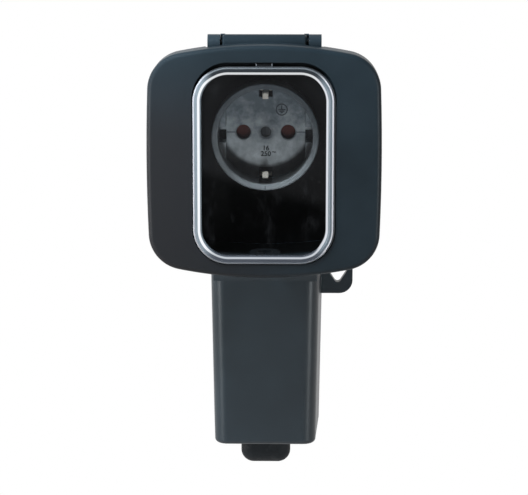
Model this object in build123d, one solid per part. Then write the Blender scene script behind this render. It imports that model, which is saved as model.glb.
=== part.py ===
from build123d import *
import math
import os

# Outdoor weatherproof socket for a wall: one earthed outlet behind a sprung lid with a clear window.
# Millimetres. +Z is up, the wall is the plane Y = 0 and the front looks along -Y.
# A depth is a distance from the wall to the front, so a point at depth d has Y = -d.
# The origin is the middle of the four wall screws, on the wall.

# How far a cutting shape runs past the face that it opens
PAST = 1.0

# Wall plate and its screws
PLATE_THICK = 3.0
PLATE_BOSS = 2.3
WALL_SCREW_X = 32.0
WALL_SCREW_Z = 120.0
WALL_SCREW_R = 2.6
GASKET_THICK = 1.0
GASKET_EDGE = 0.3
RIB_THICK = 1.6
RIB_HEIGHT = 5.0
RIB_CLEAR = 0.4

# Lid
LID_WIDTH = 95.0
LID_HEIGHT = 94.7
LID_DEPTH = 16.0
LID_Z = 41.15
LID_END_R = 180.0
LID_SIDE_R = 800.0
LID_CORNER_R = 15.0
LID_WALL = 2.5
LID_EDGE_R = 2.0
LID_CROWN_R = 1500.0

# Hinge
HINGE_DEPTH = 56.0
HINGE_BELOW_TOP = 0.5
BARREL_R = 3.8
BARREL_CLEAR = 0.5
PIN_R = 1.5
PIN_RUNNING = 0.06
PIN_SEAT = 0.02
PIN_SHORT = 0.4
PIN_CHAMFER = 0.3
EAR_WIDTH = 5.1
KNUCKLE_HALF = 17.1
KNUCKLE_GAP = 0.9
KNUCKLE_CHAMFER = 0.7
WEB_ANGLE = 50.0
WEB_SINK = 0.04
WEB_FOOT = 13.5
WEB_BURY = 1.9
GAP_RIB_IN = 1.9
GAP_RIB_BACK = 3.0

# Box behind the lid
BOX_INSET_SIDE = 4.0
BOX_INSET_BELOW = 3.7
BOX_CORNER_R = 13.0
BOX_WALL = 2.5
BOX_RIM_GAP = 0.5
LIP_HEIGHT = 3.5
LIP_THICK = 1.5
FLOOR_THICK = 5.0

# Lower body of the housing
BODY_FRONT = 44.0
BODY_HALF_TOP = 25.0
BODY_TAPER = 1.7
BODY_DROP = 78.3
BODY_OVERLAP = 12.5
BODY_DRAFT = 2.9
BODY_WALL = 2.5
BODY_EDGE_R = 5.5
BODY_CORNER_R = 1.8
BODY_CORNER_MIN = 0.4
WEDGE_SPARE = 12.0
COVE_LEDGE = 1.1
COVE_INSET = 1.2
COVE_ROOT = 2.0

# Tether eye on the right of the housing
EYE_OUT = 6.1
EYE_BESIDE = 6.5
EYE_DROP = 14.9
EYE_BELOW = 6.4
EYE_FRONT = 16.5
EYE_THICK = 4.5
EYE_CORNER_R = 5.8
EYE_NARROW_R = 1.5
EYE_WIDE_R = 4.2
EYE_RISE = 4.95
EYE_ROOT = 6.0
EYE_BITE = 1.0

# Window
WINDOW_BESIDE = 18.85
WINDOW_ABOVE = 8.4
WINDOW_BELOW = 6.1
WINDOW_CORNER_R = 14.3
WINDOW_RIM = 3.4
WINDOW_RIM_THICK = 2.8
WINDOW_PANE_DROP = 0.9
WINDOW_PROUD = 0.2
WINDOW_BEVEL = 0.5
WINDOW_SLOPE = 1.4
WINDOW_GROOVE = 0.4
WINDOW_GROOVE_TOP = 1.6
WINDOW_GASKET = 0.8
WINDOW_GASKET_EDGE = 0.2
TAB_RISE = 1.2
TAB_THICK = 1.6
LEDGE_WIDTH = 3.0
LEDGE_THICK = 2.1
FRAME_WIDTH = 3.2
HOOK_WIDTH = 6.6
HOOK_THICK = 1.3
HOOK_BARB = 0.6
HOOK_TAIL = 0.8
HOOK_PLAY = 0.1
HOOK_BURY = 0.2
HOOK_SIDE_Z = 18.0
HOOK_CLEAR = 0.25

# Lid seal
SEAL_WIDTH = 3.0
SEAL_THICK = 4.7
SEAL_GAP = 0.3
SEAL_SIDE = 0.3
SEAL_FIT = 0.05
SEAL_GROOVE = 2.5
SEAL_RIB = 1.3
RIB_BITE = 0.5

# Earthed outlet
SOCKET_RISE = 6.65
RECESS_R = 19.9
RECESS_DEPTH = 17.5
RING_WALL = 2.5
RING_RISE = 15.0
RING_EDGE = 0.4
FACE_FLOOR = 4.5
SKIRT_WALL = 1.7
FLANGE_OUT = 5.6
FLANGE_THICK = 2.8
INSERT_GASKET = 1.2
TURRET_CLEAR = 0.3
PIN_PITCH = 19.0
PIN_HOLE_R = 3.1
PIN_HOLE_CHAMFER = 0.4
LAND_WIDTH = 3.1
LAND_HEIGHT = 8.5
LAND_SLOT = 6.6
LAND_POCKET = 3.5
LAND_POCKET_TALL = 4.4
CLIP_SLOT_HALF = 2.9
CLIP_SLOT_IN = 4.9
CLIP_SLOT_WALL = 1.2
CLIP_SLOT_BELOW = 4.0
CLIP_SLOT_SINK = 0.5

# Outlet base, contacts and shutter
BASE_THICK = 14.0
BASE_CLEAR = 0.2
BASE_RIM = 3.1
SHUTTER_THICK = 2.0
SHUTTER_CLEAR = 0.1
SHUTTER_COVER = 1.8
SHUTTER_HUB_R = 6.2
SHUTTER_HALF_ANGLE = 21.0
POST_R = 3.5
SLEEVE_R = 3.6
SLEEVE_BORE_R = 2.45
SLEEVE_SET = 3.0
SLEEVE_DROP = 0.5
SLEEVE_SLIT = 1.0
SLEEVE_SLIT_FOOT = 0.5
SLEEVE_POCKET_R = 4.2
ARM_SHORT = 3.9
ARM_HALF = 2.6
ARM_THICK = 3.0
ARM_CLEAR = 0.4
ARM_SCREW_IN = 2.0
TERMINAL_SCREW_R = 1.25
TERMINAL_HEAD_R = 2.1
TERMINAL_HEAD = 1.8
TERMINAL_GAP = 0.4
EARTH_HALF = 2.5
EARTH_THICK = 0.8
EARTH_IN = 1.3
EARTH_CLEAR = 0.4
EARTH_BEND = 3.0
EARTH_CREST = 10.8
EARTH_TIP = 11.3
EARTH_SPRING = 3.3
EARTH_BACK = 0.35
EARTH_FINGER_HALF = 1.2
EARTH_SCREW_DZ = 11.0
EARTH_SCREW_LENGTH = 5.0

# Screws
SCREW_FIT = 0.05
SCREW_PASS = 0.2
SCREW_BLIND = 1.0
SCREW_TIP = 0.5
SLOT_WIDTH = 0.8
HOUSING_SCREW_IN = 10.5
HOUSING_SCREW_UP = 13.1
HOUSING_SCREW_R = 1.7
HOUSING_HEAD_R = 3.4
HOUSING_HEAD = 2.4
PILLAR_R = 4.2
PILLAR_GAP = 0.2
INSERT_SCREW_R = 1.4
INSERT_HEAD_R = 2.5
INSERT_HEAD = 2.0
CENTRE_SCREW_R = 1.4
CENTRE_HEAD_R = 2.1
CENTRE_HEAD = 1.2
CENTRE_SINK = 3.3
CENTRE_CLEAR = 0.2
CENTRE_MOUTH = 0.9
CENTRE_BLIND = 3.0

# Supply side in the lower body
BLOCK_RISE = 28.0
BLOCK_WIDTH = 32.0
BLOCK_HEIGHT = 20.0
BLOCK_DEPTH = 15.0
BLOCK_EDGE = 0.8
PEDESTAL_HEIGHT = 16.0
PEDESTAL_THICK = 2.0
POLE_PITCH = 10.0
POLE_R = 3.0
POLE_BORE_R = 2.0
POLE_SHORT = 0.5
POLE_SCREW_DZ = 5.0
POLE_SCREW_R = 1.4
POLE_SCREW_CLEAR = 0.4
POLE_SCREW_SINK = 1.0
PEG_R = 1.6
PEG_HEIGHT = 5.0
PEG_GAP = 0.5
CLAMP_RISE = 20.5
CLAMP_WIDTH = 30.0
CLAMP_HEIGHT = 9.0
CLAMP_THICK = 5.0
CLAMP_CORNER_R = 3.0
CLAMP_GROOVE_R = 6.5
CLAMP_GROOVE_SET = 3.5
CLAMP_BOSS = 9.0
CLAMP_BOSS_R = 3.6
CLAMP_SCREW_X = 11.0
CLAMP_SCREW_R = 1.6
CLAMP_HEAD_R = 3.0
CLAMP_HEAD = 2.2

# Rubber entry under the body
BOOT_WIDTH = 21.4
BOOT_REAR = 14.5
BOOT_DEPTH = 15.5
BOOT_DROP = 12.8
BOOT_CORNER_R = 5.6
BOOT_EDGE_R = 5.3
BOOT_NECK = 2.2
BOOT_FLANGE = 1.6
BOOT_WALL = 2.6
BOOT_CLEAR = 0.1
BOOT_ROOM_R = 1.5

# Outlet for the plug's cord in the box's lower wall
OUTLET_R = 5.0
OUTLET_SET = 8.0
OUTLET_BORE_R = 3.2
OUTLET_SLIT = 0.6
OUTLET_CLEAR = 0.15
OUTLET_FLANGE = 1.2
OUTLET_FLANGE_OUT = 1.4
OUTLET_LIFT = 0.2

# Closing spring of the lid
COIL_R = 2.3
COIL_WIRE_R = 0.35
COIL_HALF = 8.0
COIL_TURNS = 7
COIL_POCKET_R = 3.0
COIL_POCKET_HALF = 10.0
COIL_POCKET_FRONT = 1.5
COIL_POCKET_DROP = 0.8
REAR_LEG = 9.5
REAR_LEG_ANGLE = 7.0
FRONT_LEG = 8.0
LEG_SLOT_HALF = 0.9
LEG_CLEAR = 0.3

# Return leaf of the shutter
LEAF_THICK = 0.4
LEAF_REACH = 9.8
LEAF_SIDE = 0.2
LEAF_SEAT_X = 3.2
LEAF_SEAT_Z = 7.6
LEAF_SEAT_TALL = 2.8
LEAF_SEAT_END = 0.6

# Heights and widths that follow from the sizes above
LID_BOTTOM_Z = LID_Z - LID_HEIGHT / 2
HINGE_Z = LID_Z + LID_HEIGHT / 2 - HINGE_BELOW_TOP
EAR_IN = KNUCKLE_HALF + KNUCKLE_GAP
EAR_OUT = EAR_IN + EAR_WIDTH
BOX_WIDTH = LID_WIDTH - 2 * BOX_INSET_SIDE
BOX_TOP_Z = HINGE_Z - BARREL_R - BARREL_CLEAR
BOX_BOTTOM_Z = LID_BOTTOM_Z + BOX_INSET_BELOW
BOX_HEIGHT = BOX_TOP_Z - BOX_BOTTOM_Z
BOX_Z = (BOX_TOP_Z + BOX_BOTTOM_Z) / 2
BOX_FLOOR_Z = BOX_BOTTOM_Z + BOX_WALL
BODY_HALF_BOTTOM = BODY_HALF_TOP - BODY_TAPER
BODY_TOP_Z = BOX_BOTTOM_Z + BODY_OVERLAP
BODY_BOTTOM_Z = LID_BOTTOM_Z - BODY_DROP
EYE_X = BODY_HALF_TOP + EYE_OUT
EYE_RIGHT = EYE_X + EYE_BESIDE
EYE_NARROW_Z = BOX_BOTTOM_Z - EYE_DROP
EYE_BOTTOM_Z = EYE_NARROW_Z - EYE_BELOW
WINDOW_WIDTH = LID_WIDTH - 2 * WINDOW_BESIDE
WINDOW_HEIGHT = LID_HEIGHT - WINDOW_ABOVE - WINDOW_BELOW
WINDOW_Z = LID_BOTTOM_Z + WINDOW_BELOW + WINDOW_HEIGHT / 2
SOCKET_Z = LID_Z + SOCKET_RISE
EARTH_SCREW_Z = SOCKET_Z - EARTH_SCREW_DZ
RING_R = RECESS_R + RING_WALL
SKIRT_R = RING_R - SKIRT_WALL
FLANGE_R = RING_R + FLANGE_OUT
LAND_X = RECESS_R - LAND_WIDTH
BASE_R = SKIRT_R - BASE_CLEAR
BASE_RIM_IN = BASE_R - BASE_RIM
SHUTTER_R = PIN_PITCH / 2 + PIN_HOLE_R + SHUTTER_COVER
ARM_END = BASE_R - ARM_SHORT
ARM_SCREW_X = ARM_END - ARM_SCREW_IN
EARTH_LEG = RECESS_R - EARTH_IN
EARTH_TIP_IN = EARTH_LEG - EARTH_SPRING
HOUSING_SCREW_X = BOX_WIDTH / 2 - HOUSING_SCREW_IN
HOUSING_SCREW_DZ = BOX_HEIGHT / 2 - HOUSING_SCREW_UP
SCREW_Z = (BOX_Z - HOUSING_SCREW_DZ, BOX_Z + HOUSING_SCREW_DZ)
INSERT_SCREW_X = (RING_R + FLANGE_R) / 2
CLAMP_Z = BODY_BOTTOM_Z + CLAMP_RISE
BLOCK_Z = CLAMP_Z + BLOCK_RISE
BOOT_BOTTOM_Z = BODY_BOTTOM_Z - BOOT_DROP
COIL_PITCH = 2 * COIL_HALF / COIL_TURNS
LEG_DRIFT = FRONT_LEG * COIL_PITCH / math.hypot(COIL_PITCH, 2 * math.pi * COIL_R)

# Depths that follow from the sizes above
HOUSING_REAR = PLATE_THICK + GASKET_THICK
BOSS_FRONT = PLATE_THICK + PLATE_BOSS
BASE_REAR = PLATE_THICK + TERMINAL_GAP + TERMINAL_HEAD + EARTH_THICK
FACE_REAR = BASE_REAR + BASE_THICK
BASE_FRONT = FACE_REAR - SHUTTER_THICK - 2 * SHUTTER_CLEAR
SLEEVE_REAR = BASE_REAR + SLEEVE_SET
ARM_FRONT = SLEEVE_REAR + ARM_THICK
RECESS_FLOOR = FACE_REAR + FACE_FLOOR
RING_FRONT = RECESS_FLOOR + RECESS_DEPTH
LAND_FRONT = RECESS_FLOOR + LAND_HEIGHT
CLIP_SLOT_FRONT = RING_FRONT - CLIP_SLOT_BELOW
FLOOR_FRONT = RING_FRONT - RING_RISE
FLOOR_REAR = FLOOR_FRONT - FLOOR_THICK
FLANGE_FRONT = FLOOR_REAR - INSERT_GASKET
FLANGE_REAR = FLANGE_FRONT - FLANGE_THICK
LID_REAR = HINGE_DEPTH
LID_FRONT = LID_REAR + LID_DEPTH
LID_INSIDE = LID_FRONT - LID_WALL
BOX_RIM = LID_REAR - BOX_RIM_GAP
LIP_FRONT = BOX_RIM + LIP_HEIGHT
SEAL_FLOOR = LIP_FRONT + SEAL_GAP + SEAL_THICK
SEAL_RIB_END = SEAL_FLOOR - SEAL_GROOVE
WINDOW_FRONT = LID_FRONT + WINDOW_PROUD
WINDOW_REAR = WINDOW_FRONT - WINDOW_RIM_THICK
LEDGE_FRONT = WINDOW_REAR - WINDOW_GASKET
LEDGE_REAR = LEDGE_FRONT - LEDGE_THICK
COVE_R = BOX_RIM - COVE_LEDGE - BODY_FRONT
COVE_FOOT_Z = BOX_BOTTOM_Z - COVE_R
OUTLET_DEPTH = LIP_FRONT - OUTLET_SET
BLOCK_REAR = PLATE_THICK + PEDESTAL_THICK
BLOCK_FRONT = BLOCK_REAR + BLOCK_DEPTH
BLOCK_MIDDLE = (BLOCK_REAR + BLOCK_FRONT) / 2
CLAMP_REAR = PLATE_THICK + CLAMP_BOSS
BOOT_MIDDLE = BOOT_REAR + BOOT_DEPTH / 2


def slab(shape, start, end):
    """A face drawn in X and Z, given thickness from one depth to another."""
    return extrude(Plane.XZ.offset(start) * shape, amount=end - start)


def bar(shape, start, end):
    """A face drawn in Y and Z, given length from one X to another."""
    return extrude(Plane.YZ.offset(start) * shape, amount=end - start)


def pile(shape, start, end):
    """A face drawn in X and Y, given height from one Z to another."""
    return extrude(Plane.XY.offset(start) * shape, amount=end - start)


def block(x0, x1, d0, d1, z0, z1):
    """A plain box between two values of X, of depth and of Z, in either order."""
    middle = Pos((x0 + x1) / 2, -(d0 + d1) / 2, (z0 + z1) / 2)
    return middle * Box(abs(x1 - x0), abs(d1 - d0), abs(z1 - z0))


def rod(x, z, radius, start, end):
    """A round rod that runs along the depth."""
    return slab(Pos(x, z) * Circle(radius), start, end)


def axle(radius, start, end):
    """A round rod on the hinge's axis."""
    return bar(Pos(-HINGE_DEPTH, HINGE_Z) * Circle(radius), start, end)


def slotted_screw(x, z, radius, tip, seat, head_radius, head_height):
    """A screw that points to the wall, with its head on a seat and a slot in the head."""
    shank = rod(x, z, radius, tip, seat)
    head = rod(x, z, head_radius, seat, seat + head_height)
    top = seat + head_height
    half = SLOT_WIDTH / 2
    ends = head_radius + PAST
    slot = block(x - half, x + half, top - head_height / 2, top + PAST, z - ends, z + ends)
    return shank + head - slot


def bowed_outline(width, height, end_r, side_r, corner_r):
    """An outline in X and Z of four bowed sides joined by tangent corners."""
    half_w = width / 2
    half_h = height / 2
    end_c = Vector(0, half_h - end_r)
    side_c = Vector(half_w - side_r, 0)
    reach_end = end_r - corner_r
    reach_side = side_r - corner_r
    apart = (side_c - end_c).length
    along = (reach_end**2 - reach_side**2 + apart**2) / (2 * apart)
    aside = math.sqrt(reach_end**2 - along**2)
    unit = (side_c - end_c) * (1 / apart)
    corner_c = end_c + unit * along + Vector(-unit.Y, unit.X) * aside
    if corner_c.X < 0:
        corner_c = end_c + unit * along - Vector(-unit.Y, unit.X) * aside
    meet_end = end_c + (corner_c - end_c).normalized() * end_r
    meet_side = side_c + (corner_c - side_c).normalized() * side_r
    outward = ((meet_end + meet_side) * 0.5 - corner_c).normalized()
    middle = corner_c + outward * corner_r
    top = ThreePointArc((-meet_end.X, meet_end.Y), (0, half_h), (meet_end.X, meet_end.Y))
    right_top = ThreePointArc((meet_end.X, meet_end.Y), (middle.X, middle.Y), (meet_side.X, meet_side.Y))
    right = ThreePointArc((meet_side.X, meet_side.Y), (half_w, 0), (meet_side.X, -meet_side.Y))
    right_low = ThreePointArc((meet_side.X, -meet_side.Y), (middle.X, -middle.Y), (meet_end.X, -meet_end.Y))
    low = ThreePointArc((meet_end.X, -meet_end.Y), (0, -half_h), (-meet_end.X, -meet_end.Y))
    left_low = ThreePointArc((-meet_end.X, -meet_end.Y), (-middle.X, -middle.Y), (-meet_side.X, -meet_side.Y))
    left = ThreePointArc((-meet_side.X, -meet_side.Y), (-half_w, 0), (-meet_side.X, meet_side.Y))
    left_top = ThreePointArc((-meet_side.X, meet_side.Y), (-middle.X, middle.Y), (-meet_end.X, meet_end.Y))
    edges = [top, right_top, right, right_low, low, left_low, left, left_top]
    return make_face(edges)


def lid_outline(inset):
    """The outline of the lid, moved in by an inset."""
    width = LID_WIDTH - 2 * inset
    height = LID_HEIGHT - 2 * inset
    corner = LID_CORNER_R - inset
    return Pos(0, LID_Z) * bowed_outline(width, height, LID_END_R - inset, LID_SIDE_R - inset, corner)


def box_outline(inset):
    """The outline of the box behind the lid, moved in by an inset."""
    width = BOX_WIDTH - 2 * inset
    height = BOX_HEIGHT - 2 * inset
    corner = BOX_CORNER_R - inset
    return Pos(0, BOX_Z) * bowed_outline(width, height, LID_END_R - inset, LID_SIDE_R - inset, corner)


def body_outline(inset):
    """The tapered outline of the lower body at the wall, moved in by an inset, up into the box."""
    top = BODY_HALF_TOP - inset
    low = BODY_HALF_BOTTOM - inset
    bottom = BODY_BOTTOM_Z + inset
    outline = Polyline((-top, BODY_TOP_Z), (top, BODY_TOP_Z), (low, bottom), (-low, bottom), close=True)
    face = make_face(outline)
    return fillet(face.vertices().sort_by(Axis.Y)[:2], max(BODY_CORNER_R - inset, BODY_CORNER_MIN))


def rear_outline(inset):
    """The outline of the whole housing where it meets the wall plate."""
    return box_outline(inset) + body_outline(inset)


def body_wedge(inset, start, front):
    """The lower body as a drafted block with a level bottom, moved in by an inset."""
    low = BODY_BOTTOM_Z - WEDGE_SPARE
    slope = (BODY_HALF_TOP - BODY_HALF_BOTTOM) / (BODY_TOP_Z - BODY_BOTTOM_Z)
    top_half = BODY_HALF_TOP - inset + slope * WEDGE_SPARE
    low_half = BODY_HALF_BOTTOM - inset - slope * WEDGE_SPARE
    rise = BODY_TOP_Z + WEDGE_SPARE
    outline = Polyline((-top_half, rise), (top_half, rise), (low_half, low), (-low_half, low), close=True)
    sketch = make_face(outline)
    wedge = extrude(Plane.XZ.offset(start) * sketch, amount=front - start, taper=BODY_DRAFT)
    floor_z = BODY_BOTTOM_Z + inset
    keep = block(-BOX_WIDTH, BOX_WIDTH, start, front, floor_z, BODY_TOP_Z)
    return wedge & keep


def rounded_body():
    """The lower body's outside with its rounded upright edges and bottom."""
    body = body_wedge(0, HOUSING_REAR, BODY_FRONT)
    front = body.faces().sort_by(Axis.Y)[0]
    upright = front.edges().filter_by(lambda e: abs(e.center().X) > BODY_HALF_BOTTOM / 2)
    body = fillet(upright, BODY_EDGE_R)
    bottom = body.faces().sort_by(Axis.Z)[0]
    return fillet(bottom.edges().sort_by(Axis.Y)[:-1], BODY_CORNER_R)


def cove():
    """The hollow curve that carries the lower body's front out to the underside of the box."""
    half = BODY_HALF_TOP - (BODY_FRONT - HOUSING_REAR) * math.tan(math.radians(BODY_DRAFT)) - COVE_INSET
    foot = (-BODY_FRONT, COVE_FOOT_Z)
    turn = COVE_R * (1 - math.sqrt(0.5))
    root = -BODY_FRONT + COVE_ROOT
    rim = -BODY_FRONT - COVE_R
    shape = make_face(
        [
            ThreePointArc(foot, (-BODY_FRONT - turn, BOX_BOTTOM_Z - turn), (rim, BOX_BOTTOM_Z)),
            Line((rim, BOX_BOTTOM_Z), (rim, BOX_FLOOR_Z)),
            Line((rim, BOX_FLOOR_Z), (root, BOX_FLOOR_Z)),
            Line((root, BOX_FLOOR_Z), (root, COVE_FOOT_Z)),
            Line((root, COVE_FOOT_Z), foot),
        ]
    )
    return bar(shape, -half, half)


def tether_eye():
    """The flat ear on the right of the housing, with its pear-shaped hole."""
    rear = EYE_FRONT - EYE_THICK
    left = BODY_HALF_BOTTOM - EYE_ROOT
    ear = block(left, EYE_RIGHT, rear, EYE_FRONT, EYE_BOTTOM_Z, BOX_FLOOR_Z + PAST)
    corner = ear.edges().filter_by(Axis.Y).sort_by(lambda e: e.center().X - e.center().Z)[-1:]
    ear = fillet(corner, EYE_CORNER_R)
    wide_z = EYE_NARROW_Z + EYE_RISE
    tilt = math.asin((EYE_WIDE_R - EYE_NARROW_R) / EYE_RISE)
    out = math.cos(tilt)
    drop = math.sin(tilt)
    sides = Polyline(
        (EYE_X - EYE_NARROW_R * out, EYE_NARROW_Z - EYE_NARROW_R * drop),
        (EYE_X + EYE_NARROW_R * out, EYE_NARROW_Z - EYE_NARROW_R * drop),
        (EYE_X + EYE_WIDE_R * out, wide_z - EYE_WIDE_R * drop),
        (EYE_X - EYE_WIDE_R * out, wide_z - EYE_WIDE_R * drop),
        close=True,
    )
    hole = make_face(sides) + Pos(EYE_X, EYE_NARROW_Z) * Circle(EYE_NARROW_R)
    hole = hole + Pos(EYE_X, wide_z) * Circle(EYE_WIDE_R)
    return ear - slab(hole, rear - PAST, EYE_FRONT + PAST)


def hinge_ear(start, end):
    """One ear of the housing that holds an end of the hinge pin."""
    hold = BARREL_R - WEB_SINK
    aside = hold * math.cos(math.radians(WEB_ANGLE))
    above = hold * math.sin(math.radians(WEB_ANGLE))
    foot_z = BOX_TOP_Z - WEB_BURY
    web = make_face(
        Polyline(
            (-HINGE_DEPTH + aside, HINGE_Z + above),
            (-HINGE_DEPTH + WEB_FOOT, foot_z),
            (-BOX_RIM, foot_z),
            (-HINGE_DEPTH - aside, HINGE_Z - above),
            close=True,
        )
    )
    ear = axle(BARREL_R, start, end) + bar(web, start, end)
    return ear - axle(PIN_R + PIN_SEAT, start - PAST, end + PAST)


def gap_rib(start, end):
    """The rib of the housing that closes a gap of the hinge from behind, clear of the turning knuckle."""
    foot_z = BOX_TOP_Z - WEB_BURY
    shape = make_face(
        Polyline(
            (-HINGE_DEPTH + GAP_RIB_BACK, HINGE_Z + BARREL_R),
            (-HINGE_DEPTH + WEB_FOOT, foot_z),
            (-HINGE_DEPTH + GAP_RIB_BACK, foot_z),
            close=True,
        )
    )
    return bar(shape, start, end) - axle(BARREL_R + BARREL_CLEAR, start - PAST, end + PAST)


def outlet_shape(inset):
    """The cord outlet drawn in X and Y: a round bottom that opens to the rim of the box."""
    radius = OUTLET_R - inset
    front = LIP_FRONT + PAST
    middle = (OUTLET_DEPTH + front) / 2
    mouth = Pos(0, -middle) * Rectangle(2 * radius, front - OUTLET_DEPTH)
    return Pos(0, -OUTLET_DEPTH) * Circle(radius) + mouth


def make_housing():
    """The one-piece front housing: box, socket floor, lower body, hinge ears and tether eye."""
    lip = slab(box_outline(BOX_WALL - LIP_THICK) - box_outline(BOX_WALL), BOX_RIM, LIP_FRONT)
    shell = slab(box_outline(0), HOUSING_REAR, BOX_RIM) + rounded_body() + cove()
    body_room = body_wedge(BODY_WALL, HOUSING_REAR - PAST, BODY_FRONT - BODY_WALL)
    body_room -= block(-BOX_WIDTH, BOX_WIDTH, FLOOR_REAR, LID_FRONT, BOX_BOTTOM_Z - BODY_WALL, BOX_TOP_Z)
    shell -= body_room
    shell -= slab(box_outline(BOX_WALL), HOUSING_REAR - PAST, FLOOR_REAR)
    shell -= slab(box_outline(BOX_WALL), FLOOR_FRONT, LID_FRONT)
    shell += lip
    shell += tether_eye() - slab(rear_outline(EYE_BITE), 0, BODY_FRONT)
    shell += hinge_ear(EAR_IN, EAR_OUT) + hinge_ear(-EAR_OUT, -EAR_IN)
    shell += gap_rib(EAR_IN - GAP_RIB_IN, EAR_IN) + gap_rib(-EAR_IN, GAP_RIB_IN - EAR_IN)
    shell -= rod(0, SOCKET_Z, RING_R + TURRET_CLEAR, FLOOR_REAR - PAST, FLOOR_FRONT + PAST)
    for x in (-HOUSING_SCREW_X, HOUSING_SCREW_X):
        for z in SCREW_Z:
            shell += rod(x, z, PILLAR_R, BOSS_FRONT + PILLAR_GAP, FLOOR_REAR)
            shell -= rod(x, z, HOUSING_SCREW_R + SCREW_PASS, 0, FLOOR_FRONT + PAST)
    for x in (-INSERT_SCREW_X, INSERT_SCREW_X):
        shell -= rod(x, SOCKET_Z, INSERT_SCREW_R + SCREW_FIT, FLOOR_REAR - PAST, FLOOR_FRONT - SCREW_BLIND)
    shell -= pile(outlet_shape(0), COVE_FOOT_Z - PAST, BOX_FLOOR_Z + PAST)
    neck_w = BOOT_WIDTH - 2 * BOOT_NECK + 2 * BOOT_CLEAR
    neck_d = BOOT_DEPTH - 2 * BOOT_NECK + 2 * BOOT_CLEAR
    hole = Pos(0, -BOOT_MIDDLE) * RectangleRounded(neck_w, neck_d, BOOT_CORNER_R - BOOT_NECK)
    shell -= pile(hole, BODY_BOTTOM_Z - PAST, BODY_BOTTOM_Z + BODY_WALL + PAST)
    return shell


def make_back_plate():
    """The plate that is screwed to the wall and carries the supply terminals."""
    plate = slab(rear_outline(0), 0, PLATE_THICK)
    rib_in = BOX_WALL + RIB_CLEAR
    rib = rear_outline(rib_in) - rear_outline(rib_in + RIB_THICK)
    plate += slab(rib, PLATE_THICK, PLATE_THICK + RIB_HEIGHT)
    for x in (-HOUSING_SCREW_X, HOUSING_SCREW_X):
        for z in SCREW_Z:
            plate += rod(x, z, PILLAR_R, PLATE_THICK, BOSS_FRONT)
            plate -= rod(x, z, HOUSING_SCREW_R + SCREW_FIT, SCREW_BLIND, BOSS_FRONT + PAST)
    half_x = WALL_SCREW_X / 2
    half_z = WALL_SCREW_Z / 2
    for x in (-half_x, half_x):
        for z in (-half_z, half_z):
            plate -= rod(x, z, WALL_SCREW_R, -PAST, PLATE_THICK + PAST)
    half_w = BLOCK_WIDTH / 2
    half_h = PEDESTAL_HEIGHT / 2
    plate += block(-half_w, half_w, PLATE_THICK, BLOCK_REAR, BLOCK_Z - half_h, BLOCK_Z + half_h)
    for x in (-POLE_PITCH / 2, POLE_PITCH / 2):
        plate += rod(x, BLOCK_Z, PEG_R, BLOCK_REAR, BLOCK_REAR + PEG_HEIGHT)
    for x in (-CLAMP_SCREW_X, CLAMP_SCREW_X):
        plate += rod(x, CLAMP_Z, CLAMP_BOSS_R, PLATE_THICK, CLAMP_REAR)
        plate -= rod(x, CLAMP_Z, CLAMP_SCREW_R + SCREW_FIT, PLATE_THICK + SCREW_BLIND, CLAMP_REAR + PAST)
    return plate


def make_housing_gasket():
    """The flat seal between the wall plate and the housing's rear rim."""
    ring = rear_outline(GASKET_EDGE) - rear_outline(BOX_WALL - GASKET_EDGE)
    return slab(ring, PLATE_THICK, HOUSING_REAR)


def make_housing_screws():
    """Four screws through the socket floor into the wall plate."""
    tip = SCREW_BLIND + SCREW_TIP
    screws = []
    for x in (-HOUSING_SCREW_X, HOUSING_SCREW_X):
        for z in SCREW_Z:
            screw = slotted_screw(x, z, HOUSING_SCREW_R, tip, FLOOR_FRONT, HOUSING_HEAD_R, HOUSING_HEAD)
            screws.append(screw)
    return Compound(children=screws)


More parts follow.
